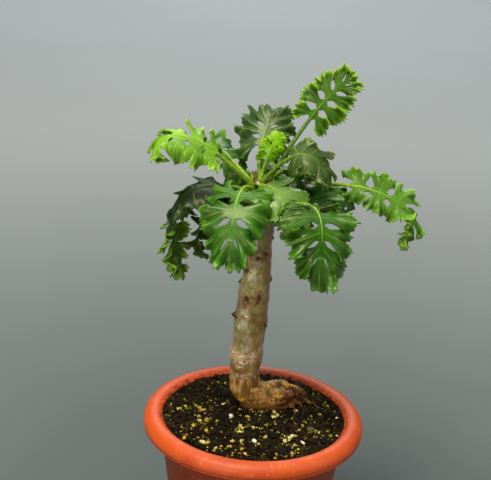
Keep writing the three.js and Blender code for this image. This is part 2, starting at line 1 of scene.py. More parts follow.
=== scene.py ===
"""Looks for a potted Pelargonium crithmifolium: a terracotta-coloured plastic pot, gritty soil, a
scarred succulent stem and a crown of lobed leaves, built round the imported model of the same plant.

Shapes are worked out in millimetres and put into their meshes in metres, in the frame of the model.
"""

import collections
import math

import bpy
import numpy as np
from mathutils import Matrix, Vector


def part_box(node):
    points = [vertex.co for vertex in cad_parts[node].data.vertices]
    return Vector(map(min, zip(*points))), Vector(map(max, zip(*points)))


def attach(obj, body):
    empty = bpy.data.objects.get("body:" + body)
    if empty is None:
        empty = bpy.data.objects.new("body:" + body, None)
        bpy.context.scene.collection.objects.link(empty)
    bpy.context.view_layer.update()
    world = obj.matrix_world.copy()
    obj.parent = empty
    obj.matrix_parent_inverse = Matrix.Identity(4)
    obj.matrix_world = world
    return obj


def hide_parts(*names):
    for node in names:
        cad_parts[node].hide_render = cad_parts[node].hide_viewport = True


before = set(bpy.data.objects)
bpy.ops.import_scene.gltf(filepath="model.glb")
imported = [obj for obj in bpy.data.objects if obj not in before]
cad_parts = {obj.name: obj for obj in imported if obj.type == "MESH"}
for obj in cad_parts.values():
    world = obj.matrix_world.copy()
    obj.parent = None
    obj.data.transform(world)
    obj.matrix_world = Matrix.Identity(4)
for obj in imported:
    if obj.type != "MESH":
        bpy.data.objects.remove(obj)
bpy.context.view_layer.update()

bl_info = {
    "name": "Potted pelargonium",
    "version": (1, 0, 0),
    "blender": (4, 5, 0),
    "location": "3D View > Sidebar > Plant",
    "description": "Builds the visible pieces of a potted succulent round its packed model",
    "category": "Object",
}

MM = 0.001  # metres in a millimetre


# Numbers and noise

def chance(a, b, c):
    """Repeatable numbers from 0 to 1: the fraction of a large multiple of the sine of a sum."""
    wobble = np.sin(a * 12.9898 + b * 78.233 + c * 37.719) * 43758.5453
    return wobble - np.floor(wobble)


def smooth(value, low, high):
    """0 below low, 1 above high, and an S-shaped cubic between."""
    t = np.clip((value - low) / (high - low), 0, 1)
    return t * t * (3 - 2 * t)


def bell(distance, width):
    """1 at distance 0, falling as a normal curve of that width."""
    return np.exp(-((distance / width) ** 2))


def lerp(a, b, t):
    """The value at share t of the way from a to b."""
    return a + (b - a) * t


def lattice(cells, seed):
    """A number from -1 to 1 for each whole-numbered cell, scrambled by multiplying and shifting."""
    x, y, z = (cells[..., k].astype(np.int64) for k in range(3))
    code = (x * 73856093) ^ (y * 19349663) ^ (z * 83492791) ^ (seed * 1640531)
    code = (code & 0xFFFFFFFF) * 1274126177 & 0xFFFFFFFF
    code ^= code >> 15
    code = code * 668265263 & 0xFFFFFFFF
    return (code ^ (code >> 13)) / 2147483647.5 - 1


def noise(points, size, seed=0, octaves=1):
    """Smooth noise about zero: lattice numbers blended by cubic weights, at size and its halves."""
    total = np.zeros(points.shape[:-1])
    weight = 1.0
    for octave in range(octaves):
        place = points / size * 2**octave + 17.3 * octave
        cell = np.floor(place).astype(np.int64)
        t = smooth(place - cell, 0, 1)
        value = np.zeros(points.shape[:-1])
        for corner in range(8):
            step = np.array([corner & 1, corner >> 1 & 1, corner >> 2])
            share = np.prod(np.where(step == 1, t, 1 - t), axis=-1)
            value += share * lattice(cell + step, seed + octave)
        total += weight * value
        weight /= 2
    return total


def unit(vectors):
    """The vectors made one long."""
    return vectors / np.maximum(np.linalg.norm(vectors, axis=-1, keepdims=True), 1e-12)


def turns(count):
    """The angles of count even steps round a circle."""
    return np.arange(count) / count * 2 * math.pi


def circle_points(angle):
    """Points at the angles on a circle of radius 1."""
    return np.stack([np.cos(angle), np.sin(angle)], axis=-1)


def turned(a, b, angle):
    """A pair of coordinates turned by an angle: the usual sums of its sine and cosine."""
    return a * np.cos(angle) - b * np.sin(angle), a * np.sin(angle) + b * np.cos(angle)


def xyz(x, y, z):
    """Points from three coordinates, each an array or a number, spread to one shape."""
    return np.stack(np.broadcast_arrays(x, y, z), axis=-1)


def curve_through(knots, count):
    """Points at even shares of a smooth curve through the knots: cubic pieces whose slopes at a
    knot follow its neighbours."""
    knots = np.asarray(knots, dtype=float)
    padded = np.concatenate([[2 * knots[0] - knots[1]], knots, [2 * knots[-1] - knots[-2]]])
    share = np.linspace(0, len(knots) - 1, count)
    k = np.minimum(share.astype(int), len(knots) - 2)
    t = (share - k)[:, None]
    a, b, c, d = (padded[k + i] for i in range(4))
    return 0.5 * (2 * b + (c - a) * t + (2 * a - 5 * b + 4 * c - d) * t**2 + (3 * b - a - 3 * c + d) * t**3)


def smooth_lookup(table, x):
    """The table's value at x on a smooth curve: cubic pieces between entries, whose slopes come from
    the neighbours."""
    xs, ys = table.T
    slopes = np.gradient(ys, xs)
    x = np.clip(x, xs[0], xs[-1])
    k = np.clip(np.searchsorted(xs, x, side="right") - 1, 0, len(xs) - 2)
    width = xs[k + 1] - xs[k]
    t = (x - xs[k]) / width
    return (
        ys[k] * (1 + 2 * t) * (1 - t) ** 2
        + slopes[k] * width * t * (1 - t) ** 2
        + ys[k + 1] * t**2 * (3 - 2 * t)
        + slopes[k + 1] * width * t**2 * (t - 1)
    )


# Meshes

def grid_faces(rows, columns, closed=False):
    """Quads between neighbouring rows and columns of a grid, joined round its columns if closed."""
    row = np.arange(rows - 1)[:, None] * columns
    column = np.arange(columns if closed else columns - 1)[None, :]
    after = (column + 1) % columns
    corners = (row + column, row + after, row + columns + after, row + columns + column)
    return np.stack(corners, axis=-1).reshape(-1, 4)


def cap_faces(ring, middle, outward=True):
    """Triangles from a closed ring of point numbers to its middle point."""
    after = np.roll(ring, -1)
    pair = (ring, after) if outward else (after, ring)
    return np.stack((*pair, np.full(len(ring), middle)), axis=-1)


def closed_tube(rings):
    """Points and faces of a tube through rings of points, shaped (stations, sides, 3), with both
    ends closed on the middle of their ring."""
    stations, sides = rings.shape[:2]
    ends = rings[[0, -1]].mean(axis=1)
    count = stations * sides
    faces = [
        grid_faces(stations, sides, closed=True),
        cap_faces(np.arange(sides), count, outward=False),
        cap_faces(np.arange(sides) + count - sides, count + 1),
    ]
    return np.concatenate([rings.reshape(-1, 3), ends]), faces


def path_frames(path):
    """For each point of a path, two directions square to it and to each other, that turn as little
    as they can: one is carried along and made square again at each step."""
    ahead = unit(np.gradient(path, axis=0))
    first = np.zeros_like(path)
    carried = np.cross(ahead[0], [0.3, 1.0, 0.2])
    for k, direction in enumerate(ahead):
        carried = carried - direction * (carried @ direction)
        carried /= np.linalg.norm(carried)
        first[k] = carried
    return first, np.cross(ahead, first)


def tube_rings(path, radius, sides):
    """Rings round a path: its points plus radius times the sine and cosine of the angle round it.
    radius is a number, or one for each point of the path."""
    first, second = path_frames(path)
    angle = turns(sides)[:, None]
    out = first[:, None] * np.cos(angle) + second[:, None] * np.sin(angle)
    return path[:, None] + out * np.reshape(radius, (-1, 1, 1))


def joined(parts):
    """Several (points, faces) pairs as one, with the later faces renumbered."""
    points, faces, first = [], [], 0
    for part_points, part_faces in parts:
        points.append(part_points)
        faces.extend(group + first for group in part_faces)
        first += len(part_points)
    return np.concatenate(points), faces


def merge_close(points, faces, digits=3):
    """Points that are the same to so many digits made one, and the faces renumbered, without those
    that lose a side. Also gives the number of the point that each came from."""
    _, first, back = np.unique(np.round(points, digits), axis=0, return_index=True, return_inverse=True)
    faces = [back.reshape(-1)[group] for group in faces]
    return points[first], [g[(g != np.roll(g, 1, axis=1)).all(axis=1)] for g in faces], first


def with_thickness(points, quads, thick):
    """A sheet of quads made a closed shell: moved half its thickness along its normals to each side,
    with a wall of quads along each edge that only one quad uses."""
    a, b, c, d = (points[quads[:, k]] for k in range(4))
    face_normal = np.cross(c - a, d - b)
    normals = np.zeros_like(points)
    for k in range(4):
        np.add.at(normals, quads[:, k], face_normal)
    step = unit(normals) * thick[:, None] / 2
    count = len(points)
    starts = quads.reshape(-1)
    ends = np.roll(quads, -1, axis=1).reshape(-1)
    forward = starts * np.int64(count) + ends
    open_edge = ~np.isin(forward, ends * np.int64(count) + starts)
    s, e = starts[open_edge], ends[open_edge]
    walls = np.stack([e, s, s + count, e + count], axis=-1)
    return np.concatenate([points + step, points - step]), [quads, quads[:, ::-1] + count, walls]


def add_piece(name, points, faces, material, attributes=None, nodes=(), flat=False):
    """A mesh object from points in millimetres and groups of faces, riding on the part's body."""
    mesh = bpy.data.meshes.new(name)
    loops = np.concatenate([group.reshape(-1) for group in faces])
    sizes = np.concatenate([np.full(len(group), group.shape[1]) for group in faces])
    mesh.vertices.add(len(points))
    mesh.vertices.foreach_set("co", (points * MM).astype(np.float32).reshape(-1))
    mesh.loops.add(len(loops))
    mesh.loops.foreach_set("vertex_index", loops.astype(np.int32))
    mesh.polygons.add(len(sizes))
    mesh.polygons.foreach_set("loop_start", (np.cumsum(sizes) - sizes).astype(np.int32))
    mesh.polygons.foreach_set("use_smooth", np.full(len(sizes), not flat))
    mesh.update(calc_edges=True)
    for key, values in (attributes or {}).items():
        layer = mesh.attributes.new(key, "FLOAT", "POINT")
        layer.data.foreach_set("value", np.asarray(values, dtype=np.float32).reshape(-1))
    mesh.materials.append(material)
    piece = bpy.data.objects.new(name, mesh)
    bpy.context.scene.collection.objects.link(piece)
    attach(piece, "root")
    if nodes:
        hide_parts(*nodes)


# Materials

def tint(code):
    """A screen colour such as 0x3F9A24 as linear red, green, blue and an alpha of 1."""
    channels = [(code >> shift & 255) / 255 for shift in (16, 8, 0)]
    linear = [c / 12.92 if c <= 0.04045 else ((c + 0.055) / 1.055) ** 2.4 for c in channels]
    return (*linear, 1.0)


class Value:
    """A socket of a material, with arithmetic that adds Math nodes."""

    def __init__(self, finish, socket):
        self.finish = finish
        self.socket = socket

    def math(self, operation, *others):
        return self.finish.node("ShaderNodeMath", {"operation": operation}, dict(enumerate((self, *others))))

    def __add__(self, other):
        return self.math("ADD", other)

    __radd__ = __add__

    def __sub__(self, other):
        return self.math("SUBTRACT", other)

    def __rsub__(self, other):
        return self.finish.node("ShaderNodeMath", {"operation": "SUBTRACT"}, {0: other, 1: self})

    def __mul__(self, other):
        return self.math("MULTIPLY", other)

    __rmul__ = __mul__

    def __pow__(self, other):
        return self.math("POWER", other)

    def __abs__(self):
        return self.math("ABSOLUTE")

    def part(self):
        return self.math("FRACT")

    def over(self, low, high):
        """0 below low, 1 above high and smooth between."""
        sockets = {"Value": self, "From Min": low, "From Max": high}
        return self.finish.node("ShaderNodeMapRange", {"interpolation_type": "SMOOTHSTEP"}, sockets)


class Finish:
    """A material being built: a Principled shader and the nodes that feed it."""

    def __init__(self, name):
        self.material = bpy.data.materials.new(name)
        self.material.use_nodes = True
        self.tree = self.material.node_tree
        self.tree.nodes.clear()
        self.place = self.node("ShaderNodeTexCoord", output="Object")

    def node(self, kind, settings=None, inputs=None, output=0):
        """A node with its settings set first, then its sockets set or linked."""
        node = self.tree.nodes.new(kind)
        for key, value in (settings or {}).items():
            setattr(node, key, value)
        for key, value in (inputs or {}).items():
            if isinstance(value, Value):
                self.tree.links.new(value.socket, node.inputs[key])
            else:
                node.inputs[key].default_value = value
        return Value(self, node.outputs[output])

    def attributes(self, *names):
        """The values of the mesh's own attributes, by name."""
        return [self.node("ShaderNodeAttribute", {"attribute_name": name}, output="Fac") for name in names]

    def axis(self, name):
        """The place along X, Y or Z, in metres."""
        return self.node("ShaderNodeSeparateXYZ", inputs={0: self.place}, output=name)

    def reach(self):
        """The distance from the upright axis, in metres."""
        x, y = self.axis("X"), self.axis("Y")
        return (x * x + y * y) ** 0.5

    def grain(self, scale, detail=3.0, rough=0.55, stretch=None):
        """Noise from 0 to 1, with scale features a metre."""
        place = self.place
        if stretch:
            place = self.node("ShaderNodeMapping", inputs={"Vector": place, "Scale": stretch})
        sockets = {"Vector": place, "Scale": scale, "Detail": detail, "Roughness": rough}
        return self.node("ShaderNodeTexNoise", inputs=sockets)

    def cells(self, scale):
        """Distance to the nearest of scattered points, scale of them a metre."""
        return self.node("ShaderNodeTexVoronoi", inputs={"Vector": self.place, "Scale": scale})

    def blend(self, share, first, second):
        """A colour mixed from the first towards the second; a whole number is a screen colour."""
        first, second = (tint(c) if isinstance(c, int) else c for c in (first, second))
        return self.node("ShaderNodeMix", {"data_type": "RGBA"}, {0: share, 6: first, 7: second}, output=2)

    def coated(self, colour, *coats):
        """A colour under coats that are laid on in order, each with its share and its colour."""
        for share, coat in coats:
            colour = self.blend(share, colour, coat)
        return colour

    def bump(self, height, strength, distance):
        sockets = {"Height": height, "Strength": strength, "Distance": distance}
        return self.node("ShaderNodeBump", inputs=sockets)

    def done(self, **sockets):
        """Ends in a Principled shader; underscores in the names stand for spaces."""
        inputs = {key.replace("_", " "): value for key, value in sockets.items()}
        shader = self.node("ShaderNodeBsdfPrincipled", inputs=inputs)
        end = self.tree.nodes.new("ShaderNodeOutputMaterial")
        self.tree.links.new(shader.socket, end.inputs["Surface"])
        return self.material


def length(name, description, metres):
    """A length in metres as a property."""
    return bpy.props.FloatProperty(name=name, description=description, default=metres, unit="LENGTH")


def paint(name, description, code):
    """A colour as a property, from its screen colour."""
    return bpy.props.FloatVectorProperty(
        name=name, description=description, subtype="COLOR", size=4, default=tint(code))


# Stem sizes

# In millimetres: the stem's middle line, and its radius by height
STEM_LINE = np.array([
    [-1.5, 13.4, 119], [-5.8, 14.4, 128], [-7.2, 15, 139], [-6.4, 15, 158], [-5.8, 15, 174],
    [-4.8, 14, 188], [-3.1, 13, 224], [-2, 12, 249], [-3.6, 11.5, 260], [-6, 10.5, 270],
])
STEM_RADIUS = np.array([
    [119, 7], [122, 9.2], [131, 10], [138, 9.5], [140, 9.2], [143, 9.7], [148, 9.9], [152, 10.3],
    [158, 10], [170, 10.2], [176, 10.5], [182, 10], [196, 9.8], [210, 8.8], [224, 7.8], [249, 7.2],
    [262, 6.8], [267, 5.4], [270, 2.4],
])
# The foot's middle line, its radius by share of its length, knobs on it by middle and half-sizes, and
# roots by knots and radius
FOOT_LINE = np.array([
    [-6.5, 13.6, 127.5], [1, 12.6, 123.4], [9, 13.4, 122.4], [18, 16.5, 121.8], [26, 20.5, 120.5],
    [32, 22, 117],
])
FOOT_RADIUS = np.array([[0, 7.6], [0.12, 9.8], [0.35, 10.2], [0.6, 9.8], [0.8, 8.2], [1, 3.6]])
KNOBS = [
    ((9, 9.5, 125), (5, 4, 4)),
    ((25, 15.5, 119), (4, 3.5, 3.5)),
    ((17, 22, 127.5), (6.5, 4.5, 4)),
]
ROOTS = [
    ([[20, 17, 121], [23.5, 12, 119.5], [25, 7.5, 115.5], [25.5, 5, 110]], 2.0),
    ([[25, 18, 121], [30, 13, 119], [32.5, 10, 115], [33.5, 8, 110]], 1.8),
    ([[27, 21, 121], [34, 20, 119], [38, 18, 115.5], [40, 17, 110]], 1.8),
    ([[24, 24, 122], [30, 28, 119.5], [34, 31, 115], [36, 33, 110]], 2.2),
]
# Heights of the pale rings on the stem; the first slants
RING_HEIGHTS = (180.4, 225.5, 212.0)
# Bumps on the stem: height, bearing in degrees, how far out, half-width, half-height
NUBS = [
    (180, 187, 2.6, 2.4, 2.2), (174.5, -20, 1.6, 2.2, 1.8), (203, 188, 1.2, 1.4, 1.4),
    (205.5, -8, 1.2, 1.4, 1.8), (211.5, 232, 1.1, 2.4, 1.8), (233, -5, 1, 1.5, 1.6),
    (198, 258, 1.4, 2, 2.6), (190, 95, 1.5, 2.2, 1.8), (216, 60, 1.3, 2, 1.8), (166, 120, 1.4, 2.2, 1.8),
]
# Brown scars of fallen leaves: height, bearing, half-width, half-height, darkness
SCARS = [
    (193.3, 243, 1.9, 3.0, 1.0), (195.2, 290, 1.7, 2.9, 1.0), (223.3, 233, 1.3, 1.4, 1.0),
    (224.5, 300, 1.3, 1.4, 1.0), (221.0, 268, 1.8, 1.3, 1.0), (212.2, 225, 2.0, 1.5, 0.9),
    (183.3, 276, 2.4, 1.8, 0.45), (174.7, 335, 2.4, 2.2, 1.0), (180.0, 190, 2.4, 2.2, 1.0),
    (203.5, 190, 1.0, 1.1, 0.8), (206.0, 352, 1.0, 1.3, 0.9), (233.7, 350, 1.0, 1.2, 0.8),
    (190, 95, 1.6, 1.8, 0.8), (216, 60, 1.5, 1.6, 0.8), (166, 120, 1.5, 1.6, 0.7), (205, 130, 1.6, 2, 0.8),
    (232, 160, 1.2, 1.4, 0.7), (240, 40, 1.2, 1.4, 0.7), (186, 30, 1.6, 2, 0.8), (246, 250, 1, 1.2, 0.6),
]


def line_at(line, height):
    """Places at the heights asked for on a line of points that rises from each to the next."""
    return np.stack([np.interp(height, line[:, 2], line[:, k]) for k in range(3)], axis=-1)


# Pot

POT_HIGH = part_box("pot")[1]
# The pot's sizes in millimetres
POT_WALL_TOP = 111.5
POT_WALL_RADIUS = 59.3
POT_BASE_RADIUS = 43.0
POT_WALL = 2.0
POT_BASE = 2.5
DRAINS = 8
DRAIN_RADIUS = 4.5
DRAIN_RING = 28.0
DRAIN_BAND = 9.0  # half the width of the ring of the base that holds the drain holes
DRAIN_STEPS = 8  # points of a hole's circle that face one straight side of its sector


class PotSizes(bpy.types.PropertyGroup):
    height: length("Height", "Base to the crest of the rim", 0.12)
    rim_radius: length("Rim radius", "Widest point of the rim", POT_HIGH[0])
    bead: length("Bead", "Half the thickness of the rolled rim", 0.0065)
    base_radius: length("Base radius", "Outside of the foot", POT_BASE_RADIUS * MM)
    colour: paint("Plastic", "Colour of the plastic", 0xD6561E)


def pot_inner_radius(height, base_radius=POT_BASE_RADIUS):
    """Inside of the pot's wall: a cone parallel to its outside."""
    return base_radius + (POT_WALL_RADIUS - base_radius) * height / POT_WALL_TOP - POT_WALL


def pot_plastic(sizes):
    """Satin moulded plastic, sun-faded in blotches, with dust and lime specks on the rim; the wall below
    the rim is darkened as painted shade from the rim.
    """
    finish = Finish("pot_plastic")
    rim = finish.axis("Z").over(0.104, 0.113)
    inner = 1 - finish.reach().over(0.0585, 0.0625)
    cloud = finish.grain(38, 4, 0.6)
    fine = finish.grain(520)
    dust = finish.grain(95, 6, 0.7).over(0.5, 0.72) * fine.over(0.4, 0.7)
    specks = (1 - finish.cells(300).over(0.06, 0.14)) * finish.grain(60, 2).over(0.5, 0.6)
    crumbs = (1 - finish.cells(420).over(0.08, 0.18)) * finish.grain(75, 2).over(0.56, 0.66) * rim
    soiled = finish.grain(330, 4, 0.7).over(0.5, 0.6) * inner * rim
    scratch = finish.grain(70, 2, 0.5, stretch=(1, 1, 14)).over(0.68, 0.73)
    colour = finish.coated(
        tuple(sizes.colour),
        (cloud.over(0.35, 0.75) * 0.6, 0xB83410),
        # painted shade: the wall below the rim made darker, as in the rim's shadow
        ((1 - rim) * 0.75, 0x7C260A),
        (dust * 0.35, 0xF09A70),
        (specks * 0.85, 0xF6DCC4),
        ((crumbs * 0.8).math("MAXIMUM", soiled * 0.75), 0x2A160C),
        (scratch * 0.25, 0xE8A080),
    )
    return finish.done(
        Base_Color=colour, Roughness=0.38 + 0.2 * cloud + 0.25 * dust, Specular_IOR_Level=0.5,
        Normal=finish.bump(fine * 0.5 + specks + crumbs + soiled, 0.35, 0.0006),
    )


def pot_profile(sizes):
    """Radius and height round the pot's section: foot, wall, lip, rolled bead, throat and inside.
    The bead is an arc about its middle; under it stands a thin moulded lip."""
    bead = sizes.bead / MM
    rim = sizes.rim_radius / MM
    top = sizes.height / MM
    base = sizes.base_radius / MM
    foot = [(base - 1.5, 0.0), (base - 0.8, 0.15), (base - 0.2, 0.7), (base, 1.5)]
    share = np.linspace(0.04, 1, 24)
    wall = np.stack([lerp(base, POT_WALL_RADIUS, share), lerp(foot[-1][1], POT_WALL_TOP, share)], axis=-1)
    lip = [(60.2, 110.9), (64.0, 110.2), (68.2, 110.1), (69.2, 110.35), (69.5, 110.8), (69.3, 111.3),
           (68.6, 111.7), (68.5, 112.0)]
    arc = np.radians(np.linspace(-10, 150, 40))
    roll = np.stack([rim - bead + bead * np.cos(arc), top - bead + bead * np.sin(arc)], axis=-1)
    heights = np.concatenate([[116.6, 115], np.linspace(112, POT_BASE + 1, 12)])
    inside = [(pot_inner_radius(h, base), h) for h in heights]
    inside += [(pot_inner_radius(POT_BASE, base) - 1.0, POT_BASE)]
    return np.concatenate([foot, wall, lip, roll, inside])


def drain_floor(height, edge_radius, sides, up):
    """One face of the pot's base between its drain holes: a middle disc, for each hole a fan of rows
    from its circle to the edges of its own sector of the ring, and a flat ring out to the wall."""
    inner, outer = DRAIN_RING - DRAIN_BAND, DRAIN_RING + DRAIN_BAND
    per_sector = sides // DRAINS
    half = math.pi / DRAINS
    along_arc = np.linspace(-half, half, per_sector + 1)
    radial = np.linspace(inner, outer, DRAIN_STEPS + 1)
    frames = [
        (np.full(per_sector, outer), along_arc[:-1]), (radial[:0:-1], np.full(DRAIN_STEPS, half)),
        (np.full(per_sector, inner), along_arc[:0:-1]), (radial[:-1], np.full(DRAIN_STEPS, -half)),
    ]
    edge_r, edge_a = (np.concatenate(values) for values in zip(*frames))
    count = len(edge_r)
    parts = []
    for turn in turns(DRAINS):
        edge = edge_r[:, None] * circle_points(edge_a + turn)
        centre = DRAIN_RING * circle_points(turn)
        hole = centre + DRAIN_RADIUS * unit(edge - centre)
        rows = np.stack([lerp(hole, edge, t) for t in (0, 0.25, 1)])
        parts.append((rows.reshape(-1, 2), [grid_faces(3, count, closed=True)]))
    ring = circle_points(turns(sides) + half)
    rims = np.stack([ring * r for r in (outer, lerp(outer, edge_radius, 0.5), edge_radius)])
    parts.append((rims.reshape(-1, 2), [grid_faces(3, sides, closed=True)[:, ::-1]]))
    disc = np.concatenate([ring * inner, ring * inner / 2, [[0, 0]]])
    faces = [grid_faces(2, sides, closed=True), cap_faces(np.arange(sides) + sides, 2 * sides)]
    parts.append((disc, faces))
    flat, faces = joined(parts)
    points = np.column_stack([flat, np.full(len(flat), height)])
    return points, [group if up else group[:, ::-1] for group in faces]


class PLANT_OT_pot(bpy.types.Operator):
    """Turns the pot's profile about the upright axis and sets its drained base in"""
    bl_idname = "plant.pot"
    bl_label = "Pot"

    def execute(self, context):
        sizes = context.scene.plant_pot
        sides = 192
        profile = pot_profile(sizes)
        x, y = circle_points(turns(sides) + math.pi / DRAINS).T
        wall = xyz(profile[:, :1] * x, profile[:, :1] * y, profile[:, 1:])
        outside = drain_floor(0.0, profile[0, 0], sides, up=False)
        inside = drain_floor(POT_BASE, profile[-1, 0], sides, up=True)
        shell = (wall.reshape(-1, 3), [grid_faces(len(profile), sides, closed=True)])
        count = 2 * (sides // DRAINS + DRAIN_STEPS)
        tubes = []
        for start in range(0, 3 * count * DRAINS, 3 * count):
            circles = [face[0][start:start + count] for face in (outside, inside)]
            tubes.append((np.concatenate(circles), [grid_faces(2, count, closed=True)[:, ::-1]]))
        points, faces, _ = merge_close(*joined([shell, outside, inside, *tubes]))
        add_piece("pot_shell", points, faces, pot_plastic(sizes), nodes=["pot"])
        return {"FINISHED"}


# Soil

SOIL_LEVEL = 116.9  # at the wall
SOIL_UNDERSIDE = 108.0
SOIL_REACH = pot_inner_radius(SOIL_LEVEL)
FOOT_CLEARANCE = 10.5  # from the middle of the foot to the nearest grain


class SoilSizes(bpy.types.PropertyGroup):
    level: length("Level", "Height of the soil at the wall", SOIL_LEVEL * MM)
    mound: length("Mound", "Rise of the soil from the wall to the middle", 0.0014)
    grains: bpy.props.IntProperty(
        name="Grains", description="Pale grains scattered on the soil", default=190)
    colour: paint("Soil", "Colour of the damp soil", 0x1C1208)


def soil_height(x, y, sizes):
    """Height of the soil: a low dome, with lumps of 8 mm and crumbs of 3 mm that fade near the wall."""
    share = np.hypot(x, y) / SOIL_REACH
    place = xyz(x, y, 0)
    lumps = noise(place, 8, 3, 2) * 0.8
    crumbs = np.abs(noise(place, 3.0, 8, 3)) * 1.2
    dome = sizes.level / MM + sizes.mound / MM * (1 - share**2)
    return dome + (lumps + crumbs - 0.2) * smooth(1.02 - share, 0, 0.06)


def soil_dark(sizes):
    """Damp black-brown mix, with olive moss in patches and brown fibre."""
    finish = Finish("soil_mix")
    patches = finish.grain(55, 3)
    fine = finish.grain(900, 4, 0.7)
    moss = patches.over(0.52, 0.68) * fine.over(0.45, 0.62)
    colour = finish.coated(
        0x060402,
        (fine.over(0.3, 0.75), tuple(sizes.colour)),
        (finish.grain(260).over(0.55, 0.72) * 0.45, 0x3A2716),
        (moss * 0.7, 0x4F5216),
    )
    return finish.done(
        Base_Color=colour, Roughness=0.95 - 0.25 * finish.grain(200).over(0.55, 0.7),
        Normal=finish.bump(fine, 0.9, 0.0012), Specular_IOR_Level=0.12,
    )


def grit_finish(name, light, dark, stain):
    """Porous grit in two tones with stains, told apart by each grain's own tone."""
    finish = Finish(name)
    tone, = finish.attributes("tone")
    pores = finish.grain(1500, 3, 0.7)
    colour = finish.coated(dark, (tone, light), ((1 - pores.over(0.3, 0.55)) * 0.55, stain))
    return finish.done(
        Base_Color=colour, Roughness=0.85 - 0.1 * pores, Normal=finish.bump(pores, 0.7, 0.0004),
        Specular_IOR_Level=0.2,
    )


def unit_ball():
    """Corners and triangles of a 20-faced ball, cut once more into 80 faces and rounded."""
    golden = (1 + 5**0.5) / 2
    corners = [(-1, golden, 0), (1, golden, 0), (-1, -golden, 0), (1, -golden, 0), (0, -1, golden),
               (0, 1, golden), (0, -1, -golden), (0, 1, -golden), (golden, 0, -1), (golden, 0, 1),
               (-golden, 0, -1), (-golden, 0, 1)]
    faces = np.array([(0, 11, 5), (0, 5, 1), (0, 1, 7), (0, 7, 10), (0, 10, 11), (1, 5, 9), (5, 11, 4),
                      (11, 10, 2), (10, 7, 6), (7, 1, 8), (3, 9, 4), (3, 4, 2), (3, 2, 6), (3, 6, 8),
                      (3, 8, 9), (4, 9, 5), (2, 4, 11), (6, 2, 10), (8, 6, 7), (9, 8, 1)])
    points = unit(np.array(corners, dtype=float))
    middles = [unit(points[faces[:, i]] + points[faces[:, (i + 1) % 3]]) for i in range(3)]
    count = len(faces)
    at = [len(points) + count * i + np.arange(count) for i in range(3)]
    fine = np.concatenate([
        np.stack([faces[:, 0], at[0], at[2]], axis=-1), np.stack([faces[:, 1], at[1], at[0]], axis=-1),
        np.stack([faces[:, 2], at[2], at[1]], axis=-1), np.stack(at, axis=-1),
    ])
    points, (fine,), _ = merge_close(np.concatenate([points, *middles]), [fine], 6)
    return points, fine


def scatter(centres, sizes, seed, rough=0.3):
    """Lumpy stones: the unit ball scaled, roughened and turned for each centre, all at once."""
    ball, faces = unit_ball()
    count = len(centres)
    random = np.random.default_rng(seed)
    bumps = 1 + rough * (random.random((count, len(ball), 1)) - 0.5) * 2
    turn = random.random(count) * 2 * math.pi
    tilt = (random.random(count) - 0.5) * 0.9
    points = ball[None] * bumps * sizes[:, None]
    x, y, z = (points[..., k] for k in range(3))
    x, z = turned(x, z, tilt[:, None])
    x, y = turned(x, y, turn[:, None])
    points = xyz(x, y, z) + centres[:, None]
    faces = faces[None] + (np.arange(count) * len(ball))[:, None, None]
    tone = np.repeat(random.random(count), len(ball))
    return points.reshape(-1, 3), [faces.reshape(-1, 3)], tone


def clear_of_stem(x, y):
    """True where a grain at x, y stands clear of the stem and its foot."""
    foot = curve_through(FOOT_LINE, 24)[:, :2]
    gap = np.hypot(x[:, None] - foot[:, 0], y[:, None] - foot[:, 1]).min(axis=1)
    return gap > FOOT_CLEARANCE


def spots_on_soil(count, seed, sizes, front=0.0, clump=0.0):
    """Random places on the soil, more of them at the front if front is above 0, and gathered into
    patches if clump is."""
    random = np.random.default_rng(seed)
    tries = random.random((count * 5, 3))
    radius = np.sqrt(tries[:, 0]) * (SOIL_REACH - 1.6)
    bearing = tries[:, 1] * 2 * math.pi
    x, y = radius * np.cos(bearing), radius * np.sin(bearing)
    wanted = 1 - front * smooth(y, -35, 30)
    patch = noise(xyz(x, y, 0), 11, 91, 2)
    wanted = wanted * (1 - clump * (1 - smooth(patch, -0.15, 0.3)))
    keep = clear_of_stem(x, y) & (tries[:, 2] < wanted)
    x, y = x[keep][:count], y[keep][:count]
    return xyz(x, y, soil_height(x, y, sizes))


# Grains strewn on the soil, in the order in which they are drawn: name; count, or None for the property's;
# seed; least and greatest half-size; light, dark and stained tones; how much fewer there are at the
# back; rise as a share of the size, roughness and flatness; how much they gather in patches
LOOSE = (0.3, 0.28, 0.75)  # rise, roughness and flatness of most of them
STREWN = [
    ("grit_cream", None, 31, (0.4, 1.7), (0xF4E49A, 0xB49A40, 0x5A4418), 0.8, LOOSE, 0.8),
    ("grit_yellow", 130, 37, (0.4, 1.3), (0xE8D03A, 0x9A861E, 0x4A3A10), 0.6, LOOSE, 0.85),
    ("grit_rust", 40, 41, (0.5, 1.4), (0xB06A24, 0x6A3E18, 0x341A0A), 0.4, LOOSE, 0.0),
    ("soil_clods", 240, 67, (1.2, 2.9), (0x2A1A0C, 0x080502, 0x030201), 0.0, (0.1, 0.4, 0.8), 0.0),
    ("soil_crumbs", 1500, 43, (0.5, 1.7), (0x2C1C0E, 0x0A0603, 0x040201), 0.0, (0.15, 0.35, 0.9), 0.0),
    ("moss_tufts", 620, 47, (0.35, 1.0), (0x9CA01C, 0x2C360A, 0x141C04), 0.25, LOOSE, 0.75),
]
# Single grains that stand out: x, y and half-sizes
WHITE_GRAINS = [
    ((-15.0, -8.0), (2.6, 1.8, 1.7)), ((1.0, -36.5), (1.7, 1.4, 1.2)), ((30, -33), (3.4, 1.1, 1.0)),
    ((24, -27), (1.6, 1.2, 1.0)), ((-47, -17), (1.9, 0.9, 0.8)), ((-39, -13), (1.1, 1.0, 0.9)),
]
